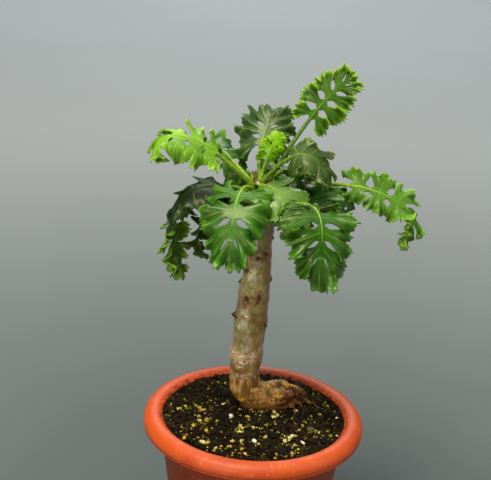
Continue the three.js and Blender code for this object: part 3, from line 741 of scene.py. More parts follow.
# Fine roots that creep over the soil from the foot: knots by x, y and height over the soil, radius
STRANDS = [
    ([(25, 10, 2.0), (26.5, 2, 0.4), (25.0, -5, 0.5), (27.0, -13, 0.2), (26, -19, -0.6)], 0.55),
    ([(30, 13, 1.6), (32, 7, 0.3), (31.0, 0, 0.5), (33.5, -5, -0.5)], 0.45),
    ([(35, 19, 1.0), (40, 17, 0.4), (43, 12, 0.4), (47, 12, -0.5)], 0.5),
]


class PLANT_OT_soil(bpy.types.Operator):
    """Lays the soil's surface in the pot, from the middle out to the wall and down its side"""
    bl_idname = "plant.soil"
    bl_label = "Soil"

    def execute(self, context):
        sizes = context.scene.plant_soil
        rings, sides = 150, 260
        edge = pot_inner_radius(sizes.level / MM) - 0.35
        radius = np.linspace(0.4, edge, rings)
        x, y = (radius[:, None] * share for share in circle_points(turns(sides)).T)
        under = xyz(x[-1], y[-1], SOIL_UNDERSIDE)
        grid = np.concatenate([xyz(x, y, soil_height(x, y, sizes)), [under], [under * [0.2, 0.2, 1]]])
        points, faces = closed_tube(grid)
        points[-2:] = xyz(0, 0, [soil_height(np.zeros(1), np.zeros(1), sizes)[0], SOIL_UNDERSIDE])
        faces = [group[:, ::-1] for group in faces]
        add_piece("soil_surface", points, faces, soil_dark(sizes), nodes=["soil"])
        return {"FINISHED"}


class PLANT_OT_grit(bpy.types.Operator):
    """Scatters pale pumice, dark crumbs, moss and fibres over the soil"""
    bl_idname = "plant.grit"
    bl_label = "Grit"

    def execute(self, context):
        sizes = context.scene.plant_soil
        random = np.random.default_rng(21)
        for name, count, seed, (low, high), tones, front, (rise, rough, flatness), clump in STREWN:
            spots = spots_on_soil(count or sizes.grains, seed, sizes, front, clump)
            girth = low + (high - low) * random.random(len(spots)) ** 2.2
            shape = girth[:, None] * (0.5 + 0.9 * random.random((len(spots), 3)))
            shape[:, 2] *= flatness
            spots[:, 2] += rise * girth
            points, faces, tone = scatter(spots, shape, seed + 1, rough)
            add_piece(name, points, faces, grit_finish(name, *tones), {"tone": tone}, flat=True)
        spots = np.array([[*at, 0.0] for at, _ in WHITE_GRAINS])
        shape = np.array([size for _, size in WHITE_GRAINS])
        spots[:, 2] = soil_height(spots[:, 0], spots[:, 1], sizes) + shape[:, 2] * 0.4
        points, faces, tone = scatter(spots, shape, 53, 0.12)
        white = grit_finish("grit_white", 0xFFFDF4, 0xE8E2D0, 0xB0A080)
        add_piece("grit_white", points, faces, white, {"tone": tone}, flat=True)
        pebble = np.array([[36.0, -17.0, 118.0]])
        points, faces, tone = scatter(pebble, np.array([[4.2, 2.8, 2.0]]), 59, 0.1)
        stone = grit_finish("pebble", 0x7A6A52, 0x5A4C3A, 0x3A2E22)
        add_piece("pebble", points, faces, stone, {"tone": tone})
        parts = []
        for spot in spots_on_soil(70, 61, sizes):
            heading = random.random() * 2 * math.pi
            reach = 2.0 + 5.0 * random.random()
            curl = (random.random(3) - 0.5) * [3, 3, 1.0]
            ahead = np.array([*circle_points(heading), 0.0])
            knots = [spot - ahead * reach / 2, spot + curl * 0.6 + [0, 0, 0.9], spot + ahead * reach / 2]
            path = curve_through(knots, 7)
            parts.append(closed_tube(tube_rings(path, np.linspace(0.22, 0.1, 7), 5)))
        for knots, thick in STRANDS:
            path = curve_through(knots, 26)
            path[:, 2] += soil_height(path[:, 0], path[:, 1], sizes)
            parts.append(closed_tube(tube_rings(path, thick * np.linspace(1, 0.45, 26), 8)))
        points, faces = joined(parts)
        fibre = grit_finish("fibre", 0xA8742E, 0x5A3416, 0x2A160A)
        tone = noise(points, 6, 5) * 0.5 + 0.5
        add_piece("soil_fibres", points, faces, fibre, {"tone": tone})
        return {"FINISHED"}


# Stem

class StemSizes(bpy.types.PropertyGroup):
    skin: paint("Skin", "Silvery skin of the upper stem", 0xA69C66)
    foot: paint("Foot", "Rusty skin of the foot", 0xBC7A18)


def stem_finish(sizes):
    """Waxy succulent skin: silvery above, tan and rusty below, with brown scars, a papery peeling
    band and pale rings, each from the stem's own attributes. On the same attributes ride a near-white
    painted highlight down the front-left, darker flanks that are partly painted shade, and on the
    foot painted shade in its creases and near the soil and a painted highlight on its upper left."""
    finish = Finish("stem_skin")
    scar, halo, papery, low, rust, side, wax, young = finish.attributes(
        "scar", "halo", "papery", "low", "rust", "side", "wax", "young")
    fine = finish.grain(700, 4, 0.6)
    broad = finish.grain(110, 4, 0.6)
    streaks = finish.grain(260, 3, 0.6, stretch=(1, 1, 0.22))
    # painted highlight: near-white where the glint band runs, broken by noise
    painted_glint = finish.grain(190, 4, 0.6, stretch=(1, 1, 0.5)).over(0.24, 0.72) * wax
    flakes = finish.cells(520).over(0.1, 0.6) * 0.5 + fine.over(0.3, 0.7) * 0.5
    golden = finish.coated(
        tuple(sizes.foot),
        (fine.over(0.35, 0.65), 0xFCC860),
        (finish.grain(230, 4, 0.7).over(0.42, 0.58) * 0.8, 0x3E1C02),
    )
    colour = finish.coated(
        0x5E4A10,
        (0.3 + 0.7 * broad.over(0.3, 0.65), tuple(sizes.skin)),
        # partly painted shade: darker flanks of the trunk, on the right also the skin's own golden brown
        (side * 0.85, 0x7A4C02),
        (streaks.over(0.52, 0.7) * 0.4, 0xD6CFA6),
        (painted_glint, 0xFFFEF0),
        (low, finish.blend(streaks.over(0.4, 0.65), 0x6A4416, 0xD0A468)),
        (rust, golden),
        (halo * 0.9, 0x8A5010),
        (papery, finish.blend(flakes.over(0.18, 0.62), 0x5A3010, 0xDCC0A8)),
        (young, finish.blend(broad, 0x2E3A0C, 0x66702A)),
        (scar, finish.blend(fine, 0x2C1406, 0x6E3C14)),
    )
    relief = fine * 0.3 + streaks * 0.35 + papery * flakes * 1.2
    rough = 0.33 + 0.2 * broad + 0.35 * papery + 0.3 * scar + 0.12 * low
    return finish.done(
        Base_Color=colour, Roughness=rough, Normal=finish.bump(relief, 0.35, 0.0007),
        Coat_Weight=0.6 * (1 - papery) * (1 - rust * 0.7), Coat_Roughness=0.25,
        Specular_IOR_Level=0.5, Specular_Tint=(1, 0.94, 0.74, 1),
    )


def bearing_gap(angle, degrees):
    """Signed angle in radians from a bearing in degrees, between minus and plus half a turn."""
    return (angle - math.radians(degrees) + math.pi) % (2 * math.pi) - math.pi


def stem_surface():
    """The trunk: rings about its middle line, whose radius is the smooth table of radii plus soft
    ripples, a bell for each old leaf base, a dent with a rim for each scar, and peeling ridges.
    Returns the rings and what the skin's colours need."""
    rows, sides = 470, 150
    height = np.linspace(*STEM_LINE[[0, -1], 2], rows)[:, None]
    angle = turns(sides)[None, :]
    centre = line_at(curve_through(STEM_LINE, 400), height)
    radius = smooth_lookup(STEM_RADIUS, height) + 0 * angle
    circle = xyz(9 * np.cos(angle), 9 * np.sin(angle), height)
    radius = radius + 0.25 * np.sin(0.31 * height + 2 * np.sin(angle)) * np.sin(0.13 * height + angle)
    radius = radius + 0.3 * noise(circle, 8, 2, 3) + 0.16 * np.sin(0.85 * height + 1.5 * np.sin(angle + 1))
    for at, bearing, out, wide, tall in NUBS:
        across = bearing_gap(angle, bearing) * np.interp(at, *STEM_RADIUS.T)
        lump = bell(across, wide * 0.75) * bell(height - at, tall * 0.75)
        radius = radius + 1.3 * out * lump * (0.85 + 0.3 * noise(circle, 1.6, 4))
    scar = np.zeros_like(radius)
    halo = np.zeros_like(radius)
    for at, bearing, wide, tall, dark in SCARS:
        across = bearing_gap(angle, bearing) * np.interp(at, *STEM_RADIUS.T) / wide
        up = (height - at) / tall
        away = np.hypot(across, up) * (1 + 0.5 * noise(circle, 1.9, 6, 3))
        scar = np.maximum(scar, dark * (1 - smooth(away, 0.8, 1.25)))
        ragged_halo = smooth(noise(circle, 2.6, 61, 2), -0.5, 0.4)
        halo = np.maximum(halo, 1.1 * dark * bell(away - 1.3, 0.7) * ragged_halo)
        radius = radius - 0.3 * dark * bell(away, 0.6) + 0.28 * dark * bell(away - 1.15, 0.35)
    first, second, third = (height - level for level in RING_HEIGHTS)
    first = bell(first + 3.42 * np.cos(angle) + 0.6 * noise(circle, 4, 9), 1.1)
    first = first * smooth(-np.sin(angle), -0.75, 0.1)
    second = bell(second + 0.8 * noise(circle, 4, 11), 1.4) * 0.7
    third = bell(third + np.cos(angle) + noise(circle, 4, 12), 1.3) * 0.6
    rings = np.maximum(np.maximum(first, second), third) * smooth(noise(circle, 2.4, 63, 3), -0.45, 0.3)
    radius = radius + 0.35 * rings
    halo = np.maximum(halo, rings * 0.9)
    ragged = noise(circle, 5, 15, 3)
    papery = smooth(height + 3.2 * ragged, 145.6, 148.6) * (1 - smooth(height + 4.2 * ragged, 155, 158.5))
    papery = papery * (0.4 + 0.6 * smooth(noise(circle, 2.0, 16, 2), -0.5, 0.1))
    below = bell(height - 144.4 + 1.2 * ragged, 1.5) * smooth(-np.cos(angle + 0.4), -0.9, -0.3)
    halo = np.maximum(halo, 1.1 * below)
    papery = papery * (1 - 0.8 * smooth(np.cos(angle) + 0.3 * ragged, 0.3, 0.8))
    peel = smooth(height + 1.2 * ragged, 138.2, 139.4) * (1 - smooth(height + 1.4 * ragged, 140.6, 142.2))
    peel = peel * smooth(noise(circle, 3.5, 18), -0.55, 0.1)
    radius = radius + papery * (0.9 * noise(circle, 1.7, 17, 3) + 0.3) + 0.35 * peel
    papery = np.maximum(papery, peel * 0.9)
    low = 1 - smooth(height + 2.0 * ragged, 137.5, 144)
    tan = (1 - smooth(height + 6 * ragged, 160, 172)) * 0.35
    rust = 1 - smooth(height + 4 * ragged + 2.0 * np.cos(angle), 122.5, 131)
    # Partly painted shade: the trunk darkens towards both flanks; on its right this is also the skin's own
    # golden brown
    right = smooth(np.cos(angle) + 0.25 * ragged, 0.1, 1.0) * smooth(height, 128, 150)
    left = 0.5 * smooth(-np.cos(angle) + 0.3 * ragged, 0.7, 1.05)
    side = np.maximum(right, left)
    points = xyz(centre[..., 0] + radius * np.cos(angle), centre[..., 1] + radius * np.sin(angle), height)
    young = smooth(height + 3 * ragged, 254, 264)
    # painted highlight: a band facing the front-left, at bearing 254 degrees, broken by streaky noise,
    # weaker low down and at the young top
    wax = bell(bearing_gap(angle, 254) + 0.35 * noise(circle, 5, 51, 3), 0.34)
    wax = wax * smooth(noise(circle * [1, 1, 0.4], 4.2, 53, 3), -0.35, 0.35)
    wax = wax * (smooth(height, 143, 152) + 0.5 - 0.5 * smooth(height, 137, 141))
    looks = {
        "wax": wax * (1 - 0.6 * young), "scar": scar, "halo": halo, "papery": papery,
        "low": np.maximum(low, tan), "rust": rust, "side": side, "young": young,
    }
    return points, {key: np.broadcast_to(value, radius.shape) for key, value in looks.items()}


def ball_of(centre, size, seed):
    """A lumpy ellipsoid as a tube whose rings run from pole to pole, with its radius roughened."""
    rows, sides = 18, 28
    slope = np.linspace(0.06, math.pi - 0.06, rows)[:, None]
    angle = turns(sides)[None, :]
    point = xyz(np.sin(slope) * np.cos(angle), np.sin(slope) * np.sin(angle), -np.cos(slope))
    swell = 1 + 0.12 * noise(point * 3.0, 1.6, seed, 3)[..., None]
    return closed_tube(np.array(centre) + point * np.array(size) * swell)


class PLANT_OT_stem(bpy.types.Operator):
    """Raises the stem with its scars, peeling band, rings and old leaf bases"""
    bl_idname = "plant.stem"
    bl_label = "Stem"

    def execute(self, context):
        rings, looks = stem_surface()
        points, faces = closed_tube(rings)
        looks = {key: np.append(value, value[[0, -1], 0]) for key, value in looks.items()}
        skin = stem_finish(context.scene.plant_stem)
        add_piece("stem_trunk", points, faces, skin, looks, nodes=["stem"])
        return {"FINISHED"}


class PLANT_OT_foot(bpy.types.Operator):
    """Grows the swollen foot, its knobs and the roots that run into the soil"""
    bl_idname = "plant.foot"
    bl_label = "Foot and roots"

    def execute(self, context):
        rows, sides = 150, 110
        path = curve_through(FOOT_LINE, rows)
        share = np.linspace(0, 1, rows)[:, None]
        angle = turns(sides)[None, :]
        lump = 1 + 0.09 * (np.sin(3 * angle + 9 * share) + 0.7 * np.sin(2 * angle - 17 * share))
        radius = smooth_lookup(FOOT_RADIUS, share) * lump
        rings = tube_rings(path, 1.0, sides)
        outward = rings - path[:, None]
        grain = (rings + outward * 9) * [0.45, 1, 1]
        creases = noise(grain, 4.5, 23, 4)
        rugged = lerp(0.3, 1.0, smooth(share, 0.3, 0.75))
        dent = rugged * (2.0 * creases - 1.4 * np.abs(noise(grain, 2.4, 29, 3)))
        front = smooth(-outward[..., 1], -0.2, 0.5)
        groove = rings[..., 0] + 0.6 * (rings[..., 2] - 122) - 23 + 1.2 * noise(grain, 3, 33)
        dent = dent - 4.2 * bell(groove, 1.3) * front
        rings = path[:, None] + outward * (radius + dent)[..., None]
        parts = [closed_tube(rings)]
        parts += [ball_of(at, size, 31 + k) for k, (at, size) in enumerate(KNOBS)]
        for knots, thick in ROOTS:
            root_path = curve_through(knots, 30)
            ring = tube_rings(root_path, 1.0, 16)
            swell = 1 + 0.22 * noise(ring, 2.2, 37, 3)
            taper = thick * np.linspace(1.05, 0.5, 30)[:, None]
            ring = root_path[:, None] + (ring - root_path[:, None]) * (taper * swell)[..., None]
            parts.append(closed_tube(ring))
        points, faces = joined(parts)
        patch = noise(points, 6, 41, 3)
        # Painted shade: deep darkens the foot in its dents and creases and low down by the soil, where shade
        # falls; it goes into the scar colour
        deep = np.zeros(len(points))
        deep[:dent.size] = smooth(-dent, 0.1, 0.9).reshape(-1)
        deep = np.maximum(deep, 0.85 - 0.85 * smooth(points[:, 2] + 1.5 * patch, 121.5, 131.5))
        # Partly painted highlight: pale lifts the foot's upper left towards the stem's paler tan, standing
        # also for the light falling there
        pale = smooth(points[:, 2] + 2.4 * patch - 0.25 * points[:, 0], 122.5, 127.5)
        looks = {
            # the scar colour here is painted shade from deep, with random dark patches
            "scar": np.maximum(deep, 0.6 * smooth(noise(points, 3.2, 43, 3), 0.3, 0.62)),
            "halo": smooth(patch, 0.1, 0.5) * 0.8,
            **dict.fromkeys(("papery", "side", "wax"), np.zeros(len(points))),
            "low": np.ones(len(points)),
            "rust": 1 - 0.55 * pale,
            "young": 0.5 * smooth(points[:, 0] + 5 * patch, 22, 32),
        }
        skin = bpy.data.materials.get("stem_skin") or stem_finish(context.scene.plant_stem)
        add_piece("stem_foot", points, faces, skin, looks)
        return {"FINISHED"}


class PLANT_OT_stipules(bpy.types.Operator):
    """Sets dry pointed stipules round the growing tip, each a cupped blade that leans outwards"""
    bl_idname = "plant.stipules"
    bl_label = "Stipules"

    def execute(self, context):
        random = np.random.default_rng(71)
        count, rows, columns = 64, 7, 5
        height = 255 + 14.5 * random.random(count)
        bearing = random.random(count) * 2 * math.pi
        length, lean, half = (low + more * random.random(count)[:, None, None]
                              for low, more in ((3.4, 3.2), (0.25, 0.5), (1.0, 0.7)))
        out = xyz(np.cos(bearing), np.sin(bearing), 0)
        aside = xyz(-np.sin(bearing), np.cos(bearing), 0)
        base = line_at(curve_through(STEM_LINE, 200), height)
        base += out * (smooth_lookup(STEM_RADIUS, height) - 0.5)[:, None]
        u = np.linspace(0, 1, rows)[None, :, None]
        v = np.linspace(-1, 1, columns)[None, None, :]
        width = half * v * (1 - u**1.8) + 0 * u
        outward = length * (lean * u + 0.35 * u**2) - 0.35 * width**2
        upward = length * u * (1 - 0.35 * u) + 0 * v
        points = base[:, None, None] + out[:, None, None] * outward[..., None]
        points = points + aside[:, None, None] * width[..., None]
        points[..., 2] += upward
        quads = grid_faces(rows, columns)[None] + (np.arange(count) * rows * columns)[:, None, None]
        flat = points.reshape(-1, 3)
        points, faces = with_thickness(flat, quads.reshape(-1, 4), np.full(len(flat), 0.3))
        dry = grit_finish("stipule_dry", 0x8A6A2C, 0x3A3A12, 0x3A2208)
        tone = np.tile(np.repeat(random.random(count), rows * columns), 2)
        add_piece("stem_stipules", points, faces, dry, {"tone": tone})
        return {"FINISHED"}


# Leaves

class LeafSizes(bpy.types.PropertyGroup):
    thickness: length("Thickness", "Of the blade at its margin", 0.0006)
    tooth: bpy.props.FloatProperty(
        name="Teeth", description="Depth of the fine teeth, if a lobe had only one", default=1.15, min=0,
        subtype="FACTOR")
    vein: paint("Veins", "Colour of ribs and veins", 0xCADC6E)


FIRST_RAY, LAST_RAY = 128.0, 30.0  # degrees from the rachis, at its foot and at its end

# One row a leaf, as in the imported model: name; base height and bearing; heading, pitch and roll along
# it; petiole, blade and half-width; pairs of lobes; wave, fold and droop. Then its looks: deep, light
# and margin colours, gloss and kind. The placements are fitted values, made in part by scratch programs,
# as the report says
LEAVES = [
    ("leaf_left_upper", (266, 205), (215, 190, 185), (45, 38, 4, -118), (-46, 2), (33, 53, 19.5), 4,
     (1.6, 14, 26), (0x2E6A00, 0x94D034, 0xB0DC48, 0.8, "frilly")),
    ("leaf_far_left", (260, 160), (145, 170, 150), (15, -38, -92, -115), (0, 10), (42, 62, 18), 4,
     (2, 16, 20), (0x1E4400, 0x5C9420, 0x84B838, 0.6, "ferny")),
    ("leaf_left_dark", (258.5, 192), (197, 191, 174), (17, 15, -51, -97), (-15, -11), (23, 46, 17), 3,
     (1.4, 12, 30), (0x081C04, 0x1A3A12, 0x36601A, 0.35, "entire")),
    ("leaf_front_left", (263, 230), (234, 256, 270), (46, -14, -60, -96), (2, 6), (22, 54, 23), 3,
     (1.3, 10, 25), (0x0C2E00, 0x367E08, 0x6AA61C, 0.55, "broad")),
    ("leaf_front_right", (256, 307), (317, 301, 247), (21, 8, -80, -102), (-10, 0), (38, 60, 25), 4,
     (1.4, 10, 25), (0x0A2600, 0x337008, 0x60A018, 0.8, "broad")),
    ("leaf_far_right", (259, 4), (18, -3, 0), (25, -4, -30, -145), (54, 34), (49, 67, 15), 4,
     (2, 16, 20), (0x265200, 0x5E9C1E, 0x94C83A, 0.6, "ferny")),
    ("leaf_top_right", (266, 40), (27, 26, 14), (60, 52, 45, 30), (65, 65), (48, 40, 17.5), 4,
     (1, 8, 10), (0x1C4400, 0x4C8010, 0xA4DC20, 0.6, "fern")),
    ("leaf_top", (266.5, 80), (119, 73, 66), (57, 50, 47, 36), (-1, 0), (24, 33, 20), 3,
     (1.8, 16, 15), (0x142E0C, 0x446C38, 0x7EA450, 0.5, "broad")),
    ("leaf_right_dull", (269, 1), (351, 341, 354), (59, 34, -45, -84), (35, 26), (24, 37, 15), 3,
     (1.2, 8, 25), (0x1E380C, 0x426226, 0x749232, 0.6, "entire")),
    ("leaf_right_glossy", (261.5, 345), (340, 344, 352), (33, 3, -10, -40), (53, 45), (6, 43, 17.5), 3,
     (1, 6, 30), (0x164410, 0x2E6A20, 0x4C8424, 1.0, "entire")),
    ("leaf_front_pale", (267, 277), (288, 307, 328), (32, 10, -48, -81), (24, 18), (6, 46, 18), 3,
     (1.2, 8, 30), (0x2C5410, 0x6E9848, 0x98BC5C, 0.9, "entire")),
    ("leaf_young", (269, 80), (32, 25, 11), (76, 72, 58, 59), (76, 72), (14, 18, 8.5), 3,
     (0.7, 8, 10), (0x4E9400, 0x98D60C, 0xD0F034, 0.5, "frilly")),
    ("leaf_back_left", (254, 140), (158, 170, 190), (10, -35, -76, -80), (0, 0), (24, 40, 16), 3,
     (1.2, 10, 25), (0x0A1E02, 0x1C3C08, 0x3A6410, 0.7, "broad")),
    ("leaf_right_inner", (256, 27), (46, 3, -22), (36, -5, -30, -69), (20, 21), (34, 30, 12), 3,
     (1, 10, 20), (0x184600, 0x34780A, 0x70AC22, 0.7, "frilly")),
    ("leaf_back_low", (257.5, 67), (59, 66, 44), (21, -40, -74, -80), (-4, 2), (18, 32, 13), 3,
     (1.2, 10, 25), (0x162C00, 0x325208, 0x5C8018, 0.6, "broad")),
    ("leaf_back_upper", (265, 135), (150, 140, 135), (40, 28, 0, -55), (-10, -10), (22, 44, 19), 3,
     (1.4, 12, 25), (0x164A00, 0x3E8208, 0x76B61E, 0.7, "frilly")),
    ("leaf_back_right", (261.5, 77), (69, 57, 51), (28, 6, -51, -97), (1, 2), (26, 50, 20), 3,
     (1.4, 10, 25), (0x144000, 0x34760A, 0x6AA620, 0.7, "broad")),
    ("leaf_back_middle", (260, 108), (108, 102, 95), (25, 0, -60, -100), (0, 0), (24, 50, 20), 3,
     (1.4, 10, 25), (0x164200, 0x38780A, 0x70AA20, 0.7, "broad")),
]

# Kinds of leaf: the rachis as a share of the blade, fine teeth a lobe, sublobes and how deep they are
# cut, how far a lobe is pinched near its foot and its fullness at the margin; then in millimetres its
# ruffle, and how many times that runs along the margin, its fine frill, curl, keel, crumple, sag and
# twist; its shortest side lobe as a share of its longest, and half the width of the strip along its
# rachis; and how strongly its margin's colour and its veins show
Kind = collections.namedtuple(
    "Kind", "rachis teeth sublobes cut pinch fullness ruffle cycles frill curl keel crumple sag twist "
    "least wing edge vein")
KINDS = {
    "entire": Kind(
        0.62, 9, 3, 0.07, 0.03, 1.5, 1.4, 0.9, 0.1, 2.4, 0.8, 2.0, 2.0, 1.0, 0.72, 1.6, 0.35, 0.18),
    "broad": Kind(
        0.62, 11, 3, 0.17, 0.55, 1.26, 3.0, 1.2, 0.3, 3.4, 1.4, 3.2, 1.5, 1.4, 0.72, 1.4, 0.4, 0.22),
    "frilly": Kind(
        0.72, 8, 3, 0.3, 0.5, 1.25, 1.6, 0.8, 0.25, 3.6, 0.8, 3.6, 4.0, 4.0, 0.5, 1.2, 0.4, 0.05),
    "ferny": Kind(
        0.74, 8, 3, 0.22, 0.5, 1.05, 2.4, 1.1, 0.5, 3.2, 1.0, 2.4, 1.5, 3.0, 0.72, 0.9, 0.55, 0.12),
    "fern": Kind(
        0.74, 9, 4, 0.26, 0.68, 1.02, 1.2, 1.3, 0.4, 2.4, 0.6, 1.4, 0.5, 1.0, 0.72, 0.8, 0.7, 0.1),
}
# How dark a leaf's stalk and rib are, and the leaves where that isn't the usual
USUAL_RIB = 0.15
DARK_RIBS = {
    "leaf_top_right": 0.9, "leaf_right_dull": 0.8, "leaf_left_dark": 1.0, "leaf_right_glossy": 0.9,
    "leaf_left_upper": 0.4, "leaf_top": 0.6, "leaf_front_pale": 0.4, "leaf_far_left": 0.7,
}


class Leaf:
    """One leaf's sizes, and the curve that its petiole and rib follow."""

    def __init__(self, number, row):
        self.name, base, self.heading, self.pitch, self.roll, lengths, self.pairs, bends, looks = row
        self.number = number
        self.petiole, self.blade, self.half = lengths
        self.wave, self.fold, self.droop = bends
        *self.tones, self.gloss, kind = looks
        self.kind = KINDS[kind]
        self.total = self.petiole + self.blade
        height, bearing = base
        start = line_at(STEM_LINE, height)
        start[:2] += (np.interp(height, *STEM_RADIUS.T) - 1) * circle_points(math.radians(bearing))
        steps = 80
        step = self.total / steps
        moves = self.ahead((np.arange(steps) + 0.5) * step) * step
        self.stops = np.arange(steps + 1) * step
        self.walk = start + np.concatenate([np.zeros((1, 3)), np.cumsum(moves, axis=0)])

    def angles(self, s):
        """Heading, pitch and roll at distance s, in radians, on straight lines between their stops."""
        middle = self.petiole + self.blade / 2
        heading = np.interp(s, (0, self.petiole, self.total), self.heading)
        pitch = np.interp(s, (0, self.petiole, middle, self.total), self.pitch)
        roll = np.interp(s, (self.petiole, self.total), self.roll)
        return np.radians(heading), np.radians(pitch), np.radians(roll)

    def ahead(self, s):
        """Direction of the middle line at s, from its heading and pitch."""
        heading, pitch, _ = self.angles(s)
        level = np.cos(pitch)
        return xyz(level * np.cos(heading), level * np.sin(heading), np.sin(pitch))

    def middle(self, s):
        """Point of the middle line at s, on the walked line."""
        s = np.clip(s, 0, self.total)
        return np.stack([np.interp(s, self.stops, self.walk[:, k]) for k in range(3)], axis=-1)

    def frame(self, s):
        """Sideways and upward directions of the leaf at s: level and up, turned by the roll."""
        heading, _, roll = self.angles(s)
        level = xyz(-np.sin(heading), np.cos(heading), 0)
        up = np.cross(self.ahead(s), level)
        c, n = np.cos(roll)[..., None], np.sin(roll)[..., None]
        return level * c + up * n, up * c - level * n

    def bent(self, x, y, lift):
        """A point of the flat blade in its place: x along the spine, y round an arc that starts at the
        fold and ends drooping, lift square to the arc."""
        fold = math.radians(self.fold)
        bend = math.radians(self.fold + self.droop) / self.half
        slope = fold - bend * np.abs(y)
        side, top = self.frame(self.petiole + x)
        across = np.sign(y) * (math.sin(fold) - np.sin(slope)) / bend
        rise = (np.cos(slope) - math.cos(fold)) / bend
        normal = top * np.cos(slope)[..., None] - side * (np.sign(y) * np.sin(slope))[..., None]
        return (
            self.middle(self.petiole + x) + side * across[..., None] + top * rise[..., None]
            + normal * lift[..., None]
        )

    def lobes(self):
        """Side lobes and the end lobe: side, feet on the rachis, rays in degrees, length and bulge."""
        kind = self.kind
        rachis = kind.rachis * self.blade
        wing = min(kind.wing, 0.12 * self.half)
        n, number = self.pairs, self.number

        def ray(side, k):
            stray = 9 * (chance(number, k, side + 5) - 0.5) if k < n else 0
            return lerp(FIRST_RAY, LAST_RAY, k / n) + stray

        lobes = []
        for side in (1, -1):
            for k in range(n):
                swell = lerp(kind.least, 1, math.sin(math.pi * (k + 0.8) / (n + 0.6)))
                length = (self.half - wing) * swell * (1 + 0.07 * (2 * chance(number, k, side) - 1))
                bulge = 2 * (2 * chance(number, k + 20, side) - 1)
                feet = (rachis * k / n, rachis * (k + 1) / n)
                lobes.append((side, feet, (ray(side, k), ray(side, k + 1)), length, bulge))
        lobes.append((0, (rachis, rachis), (-LAST_RAY, LAST_RAY), self.blade - rachis, 0))
        return lobes, wing, 2 * math.pi * chance(number, 40, 0)


def lobe_surface(leaf, lobe, wing, phase, out, across, order, sizes):
    """Flat place and lift of a lobe's points. out runs from its foot to its margin, across from one
    parting ray to the other. The lobe is pinched near its foot and spreads over its neighbours at the
    margin, where its reach is cut between sublobes and again between fine teeth. The lift ruffles and
    curls it more and more towards the margin, and lays its far edge over the next lobe."""
    side, feet, rays, length, bulge = lobe
    kind = leaf.kind
    turn = 2 * math.pi * chance(leaf.number, order, 3)
    second = 2 * math.pi * chance(leaf.number, order, 4)
    full = kind.fullness + 0.1 * (side == 0)
    pinch = kind.pinch * (1.1 - 0.6 * feet[0] / (kind.rachis * leaf.blade))
    spread = lerp(1 - pinch, full, np.clip((out - 0.12) / 0.88, 0, 1) ** 0.8)
    width = lerp(1, spread, smooth(out, 0, 0.2))
    warped = across + 0.2 * np.sin(2.3 * across + turn) * (1 - across**2)
    share = (1 + across * width) / 2
    angle = np.radians(lerp(rays[0], rays[1], share))
    sub = np.abs(np.sin(math.pi * kind.sublobes * (warped + 1) / 2)) ** 0.6
    fine = np.abs(((warped + 1) / 2 * kind.teeth) % 1 * 2 - 1)
    uneven = 1 + 0.5 * np.sin(2.6 * across + second)
    short = 0.2 * across**2 + kind.cut * uneven * (1 - sub) * out**2
    short = short + sizes.tooth / kind.teeth * fine * out**5
    reach = length * out * (1 - short) * (1 + 0.05 * np.sin(3.1 * across + 2 * turn))
    y = (wing if side else wing * across) + reach * np.sin(angle)
    x = lerp(feet[0], feet[1], share) + reach * np.cos(angle)
    scale = min(1.0, length / 14)
    wave = leaf.wave * out**3 * np.sin(2 * math.pi * across + phase)
    ruffle = kind.ruffle * out**3 * np.sin(2 * math.pi * kind.cycles * across + turn)
    frill = kind.frill * out**4 * np.sin(2 * math.pi * 2.7 * across + second)
    curl = kind.curl * out**3.5 * np.sin(1.7 * across + second)
    keel = kind.keel * (np.abs(across) - 0.4) * smooth(out, 0.1, 0.8)
    twist = kind.twist * (2 * chance(leaf.number, order, 6) - 1)
    shingle = (2.4 + twist if side else 0.3 * twist) * across * out**1.5
    place = xyz(x, y * (side or 1), 31.0 * leaf.number)
    crumple = kind.crumple * out**1.6 * noise(place, 8, 3, 2)
    lift = wave + bulge * out**2 * np.cos(math.pi * across / 2) + ruffle + frill + curl + keel
    lift = lift + shingle + crumple - kind.sag * out**2
    # the last value, crest, is how far ruffles, crumples and keel raise the blade; it paints crests lighter
    # and hollows darker, as painted light and shade
    return x, y * (side or 1), lift * scale, np.clip(0.5 + (ruffle + crumple + keel) / 5, 0, 1)


def blade_mesh(leaf, sizes):
    """The sheet in the middle of a blade: grids for the lobes and for the strip along the rachis,
    merged where they meet. Gives its points in place, its quads, its flat points and their looks."""
    rows, columns = 15, 49
    lobes, wing, phase = leaf.lobes()
    parts, looks = [], []
    out = (np.linspace(0, 1, rows) ** 0.9)[:, None]
    across = np.linspace(-1, 1, columns)[None, :]
    halves = np.array([[0.0], [0.5], [1.0]])
    for order, lobe in enumerate(lobes):
        side, feet = lobe[:2]
        x, y, lift, crest = lobe_surface(leaf, lobe, wing, phase, out, across, order, sizes)
        flat = xyz(x, y, lift)
        grids = [(flat, (out, across, chance(leaf.number, order, 9), crest))]
        if side:
            strip_x = lerp(feet[0], feet[1], (across + 1) / 2)
            grids.append((xyz(strip_x, side * wing * halves, flat[0, :, 2] * halves), (0.0, 1.0, 0.5, 0.5)))
        for points, values in grids:
            faces = grid_faces(len(points), columns)
            parts.append((points.reshape(-1, 3), [faces if side == 1 else faces[:, ::-1]]))
            values = [np.broadcast_to(value, points.shape[:2]).reshape(-1) for value in values]
            looks.append(np.stack(values, axis=-1))
    flat, faces, kept = merge_close(*joined(parts), 4)
    return leaf.bent(*flat.T), np.concatenate(faces), flat, np.concatenate(looks)[kept]


# Light scattered under the skin of stalks and blades
FLESH = {"Subsurface_Weight": 0.1, "Subsurface_Radius": (0.3, 0.6, 0.1), "Subsurface_Scale": 0.002}


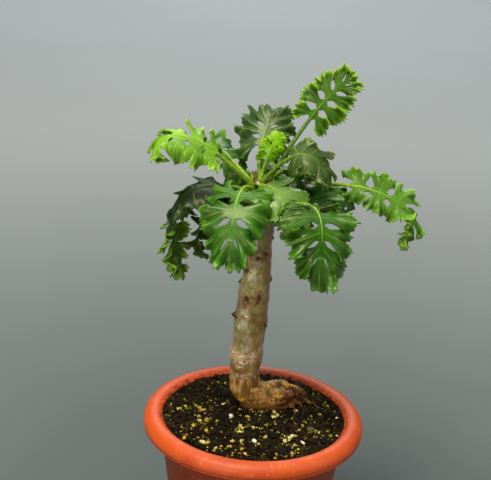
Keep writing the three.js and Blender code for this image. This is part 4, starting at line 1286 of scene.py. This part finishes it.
def leaf_finish(leaf, sizes):
    """Leaf skin: mottled green between a deep and a light tone, pale veins fanned through each lobe,
    a lighter margin, a duller underside and soft quilting between the veins. The mottling is partly
    painted light and shade: lighter where the blade's ruffles rise, darker in the hollows between."""
    deep, light, margin = leaf.tones
    finish = Finish("foliage_" + leaf.name[5:])
    out, across, tone, crest, under = finish.attributes("out", "across", "tone", "crest", "under")
    broad = finish.grain(95)
    fine = finish.grain(650, 3, 0.6)
    main = 1 - abs(across).over(0.015, 0.085)
    fan = (abs(across) * 3.2 - out * 1.4).part()
    branches = (1 - abs(fan - 0.5).over(0.0, 0.11)) * out.over(0.12, 0.4) * (1 - out.over(0.75, 1.0))
    veins = main * (1 - out.over(0.5, 1.0) * 0.7) + branches * 0.35
    colour = finish.coated(
        deep,
        # partly painted light and shade: crest lightens raised parts of the blade and darkens the hollows
        (broad.over(0.3, 0.7) * 0.35 + tone * 0.3 + crest * 0.35, light),
        ((1 - out.over(0.0, 0.25)) * 0.35, light),
        (out.over(0.72, 1.0) * leaf.kind.edge, margin),
        (veins * leaf.kind.vein, tuple(sizes.vein)),
        (under * 0.3, 0x7C9A2C),
    )
    relief = veins * -0.6 + fine * 0.25 + broad * 0.5
    return finish.done(
        Base_Color=colour, Roughness=(0.44 - 0.18 * leaf.gloss) + 0.14 * fine + 0.2 * under,
        Normal=finish.bump(relief, 0.4, 0.0006), Specular_IOR_Level=0.5,
        Specular_Tint=(0.96, 1, 0.72, 1), Coat_Weight=0.16 * leaf.gloss * (1 - under),
        Coat_Roughness=0.22, **FLESH,
    )


def stalk_finish():
    """Smooth pale green petiole, finely mottled; the rib fades into the blade's green."""
    finish = Finish("leaf_stalk")
    share, tone = finish.attributes("out", "tone")
    streak = finish.grain(500, 3, 0.6)
    colour = finish.coated(
        0x6E9E10,
        (streak.over(0.35, 0.65), 0xA4C62C),
        (tone * 0.8, 0x2E5A0A),
        (share.over(0.0, 0.2) * (1 - tone) * 0.6, 0xA0C850),
        (share.over(0.15, 0.85) * 0.75, 0x4A8A1C),
    )
    return finish.done(
        Base_Color=colour, Roughness=0.38 + 0.15 * streak, Normal=finish.bump(streak, 0.2, 0.0003),
        **FLESH,
    )


THICK_RIB, THIN_RIB = 1.5, 1.2  # radius of the petiole above its swollen foot
SMALL_HALF = 14  # leaves no wider than this to each side have the thin rib


def stalk_rings(leaf):
    """Petiole and rib as one tapering tube: round in the petiole, swollen at its foot, and thinning
    along the blade, where it lies a little proud of both faces."""
    stations, sides = 80, 12
    rachis = leaf.kind.rachis
    s = np.linspace(0, leaf.petiole + leaf.blade * rachis * 1.1, stations)
    thick = THICK_RIB if leaf.half > SMALL_HALF else THIN_RIB
    before = np.clip(s / leaf.petiole, 0, 1)
    radius = thick * lerp(1, 0.75, before) + 0.7 * np.clip(1 - s / 5, 0, None)
    along = np.clip((s - leaf.petiole) / leaf.blade, 0, 1)
    share = np.clip(along / rachis, 0, 1)
    radius = radius * lerp(1, 0.1, share**0.55)
    side, top = leaf.frame(s)
    centre = leaf.middle(s) + top * (0.8 * smooth(along, 0, 0.12) * (1 - 0.4 * along / rachis))[:, None]
    angle = turns(sides)[:, None]
    out = side[:, None] * np.cos(angle) + top[:, None] * np.sin(angle)
    rings = centre[:, None] + out * radius[:, None, None]
    return closed_tube(rings), np.append(np.repeat(share, sides), [0.0, 1.0])


MIDDLE_THICK, MIDDLE_HALF = 1.5, 3.0  # of the blade along its rachis, and how far it thins out from there


class PLANT_OT_leaves(bpy.types.Operator):
    """Grows each leaf's blade and its stalk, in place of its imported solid"""
    bl_idname = "plant.leaves"
    bl_label = "Leaves"

    def execute(self, context):
        sizes = context.scene.plant_leaf
        stalk = stalk_finish()
        for number, row in enumerate(LEAVES):
            leaf = Leaf(number, row)
            middle, quads, flat, looks = blade_mesh(leaf, sizes)
            thick = lerp(MIDDLE_THICK, sizes.thickness / MM, smooth(np.abs(flat[:, 1]), 0.0, MIDDLE_HALF))
            points, faces = with_thickness(middle, quads, thick)
            attributes = dict(zip(("out", "across", "tone", "crest"), np.tile(looks, (2, 1)).T))
            attributes["under"] = np.repeat([0.0, 1.0], len(middle))
            blade = leaf_finish(leaf, sizes)
            add_piece(leaf.name + "_blade", points, faces, blade, attributes, nodes=[leaf.name])
            (points, faces), share = stalk_rings(leaf)
            dark = np.full(len(points), DARK_RIBS.get(leaf.name, USUAL_RIB))
            attributes = {"out": share, "tone": dark}
            add_piece(leaf.name + "_stalk", points, faces, stalk, attributes)
        return {"FINISHED"}


# Stage

class StageSizes(bpy.types.PropertyGroup):
    floor: paint("Floor", "Colour of the floor", 0xAEB6C0)
    lens: bpy.props.FloatProperty(
        name="Lens", description="Focal length of the camera in millimetres", default=80.65)


# The camera, fitted to the photograph: its place in metres, and its pitch and roll
CAMERA_PLACE = Vector((-0.0119, -0.6264, 0.4562))
CAMERA_PITCH = math.radians(19.46)
CAMERA_ROLL = math.radians(3.51)
FLOOR_HALF = 40.0  # metres
WARM = (1.0, 0.93, 0.68)
# Lights: name, place, target, width, power in watts and colour, with lengths in metres
LIGHTS = [
    ("key", (-0.35, -0.45, 1.6), (0, 0, 0.2), 0.6, 22, WARM),
    ("front", (-0.38, -0.95, 0.55), (0, 0, 0.2), 0.15, 1.6, WARM),
    ("low", (-0.5, -1.0, 0.42), (0, 0, 0.2), 0.07, 2.4, WARM),
    ("side", (1.1, -0.35, 0.75), (0, 0, 0.18), 0.5, 3.0, WARM),
    ("far", (0.0, 3.4, 2.4), (0, 2.8, 0), 2.5, 64, (1.0, 0.99, 0.92)),
    ("roof", (0.0, 0.3, 4.0), (0, 0.3, 0), 6.0, 80, (1.0, 0.98, 0.9)),
]


def add_light(name, place, target, size, power, colour):
    """A square soft light at a place, turned to its target."""
    data = bpy.data.lights.new(name, "AREA")
    data.shape = "SQUARE"
    data.size = size
    data.energy = power
    data.color = colour
    lamp = bpy.data.objects.new(name, data)
    lamp.location = place
    lamp.rotation_euler = (Vector(target) - Vector(place)).to_track_quat("-Z", "Y").to_euler()
    bpy.context.scene.collection.objects.link(lamp)


class PLANT_OT_stage(bpy.types.Operator):
    """Sets the pale floor, darkened towards the pot as painted shade, the soft lights, the world's light and
    the camera
    """
    bl_idname = "plant.stage"
    bl_label = "Stage"

    def execute(self, context):
        sizes = context.scene.plant_stage
        corners = [(x * FLOOR_HALF, y * FLOOR_HALF + 8, -0.0002) for x in (-1, 1) for y in (-1, 1)]
        mesh = bpy.data.meshes.new("floor")
        mesh.from_pydata(corners, [], [(0, 2, 3, 1)])
        finish = Finish("floor_matte")
        paper = finish.grain(2, 2)
        colour = finish.coated(
            0x4E5A62,
            # painted shade: the floor darkens towards the pot, from 0x4E5A62 at the middle to the floor
            # colour 1.35 m out
            (finish.reach().over(0.0, 1.35), tuple(sizes.floor)),
            (paper.over(0.3, 0.7) * 0.1, 0x98A0A0),
        )
        mesh.materials.append(finish.done(Base_Color=colour, Roughness=0.9 - 0.1 * paper))
        floor = bpy.data.objects.new("floor", mesh)
        context.scene.collection.objects.link(floor)
        for light in LIGHTS:
            add_light(*light)
        world = bpy.data.worlds.new("studio")
        world.use_nodes = True
        back = world.node_tree.nodes["Background"]
        back.inputs["Color"].default_value = tint(0xCCC8A4)
        back.inputs["Strength"].default_value = 0.06
        context.scene.world = world
        context.scene.view_settings.view_transform = "Standard"
        camera_data = bpy.data.cameras.new("camera")
        camera_data.sensor_width = 36
        camera_data.lens = sizes.lens
        camera_data.clip_start = 0.01
        camera = bpy.data.objects.new("camera", camera_data)
        right, up = Vector((1, 0, 0)), Vector((0, math.sin(CAMERA_PITCH), math.cos(CAMERA_PITCH)))
        ahead = Vector((0, math.cos(CAMERA_PITCH), -math.sin(CAMERA_PITCH)))
        c, s = math.cos(CAMERA_ROLL), math.sin(CAMERA_ROLL)
        axes = (right * c + up * s, up * c - right * s, -ahead)
        turn = Matrix([axes[k][:] for k in range(3)]).transposed().to_4x4()
        camera.matrix_world = Matrix.Translation(CAMERA_PLACE) @ turn
        context.scene.collection.objects.link(camera)
        context.scene.camera = camera
        return {"FINISHED"}


class PLANT_PT_panel(bpy.types.Panel):
    """Lists the plant's pieces and their sizes"""
    bl_label = "Potted pelargonium"
    bl_idname = "PLANT_PT_panel"
    bl_space_type = "VIEW_3D"
    bl_region_type = "UI"
    bl_category = "Plant"

    def draw(self, context):
        for operator, group in STEPS:
            self.layout.operator(operator.bl_idname)
            if group:
                sizes = getattr(context.scene, group)
                for key in type(sizes).__annotations__:
                    self.layout.prop(sizes, key)


STEPS = [
    (PLANT_OT_stage, "plant_stage"),
    (PLANT_OT_pot, "plant_pot"),
    (PLANT_OT_soil, "plant_soil"),
    (PLANT_OT_grit, None),
    (PLANT_OT_stem, "plant_stem"),
    (PLANT_OT_foot, None),
    (PLANT_OT_stipules, None),
    (PLANT_OT_leaves, "plant_leaf"),
]
GROUPS = {
    "plant_pot": PotSizes,
    "plant_soil": SoilSizes,
    "plant_stem": StemSizes,
    "plant_leaf": LeafSizes,
    "plant_stage": StageSizes,
}
CLASSES = [*GROUPS.values(), *(operator for operator, _ in STEPS), PLANT_PT_panel]


def register():
    for cls in CLASSES:
        bpy.utils.register_class(cls)
    for key, group in GROUPS.items():
        setattr(bpy.types.Scene, key, bpy.props.PointerProperty(type=group))


def unregister():
    for key in GROUPS:
        delattr(bpy.types.Scene, key)
    for cls in reversed(CLASSES):
        bpy.utils.unregister_class(cls)


def main():
    register()
    for operator, _ in STEPS:
        family, step = operator.bl_idname.split(".")
        getattr(getattr(bpy.ops, family), step)()
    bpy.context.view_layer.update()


if __name__ == "__main__":
    main()
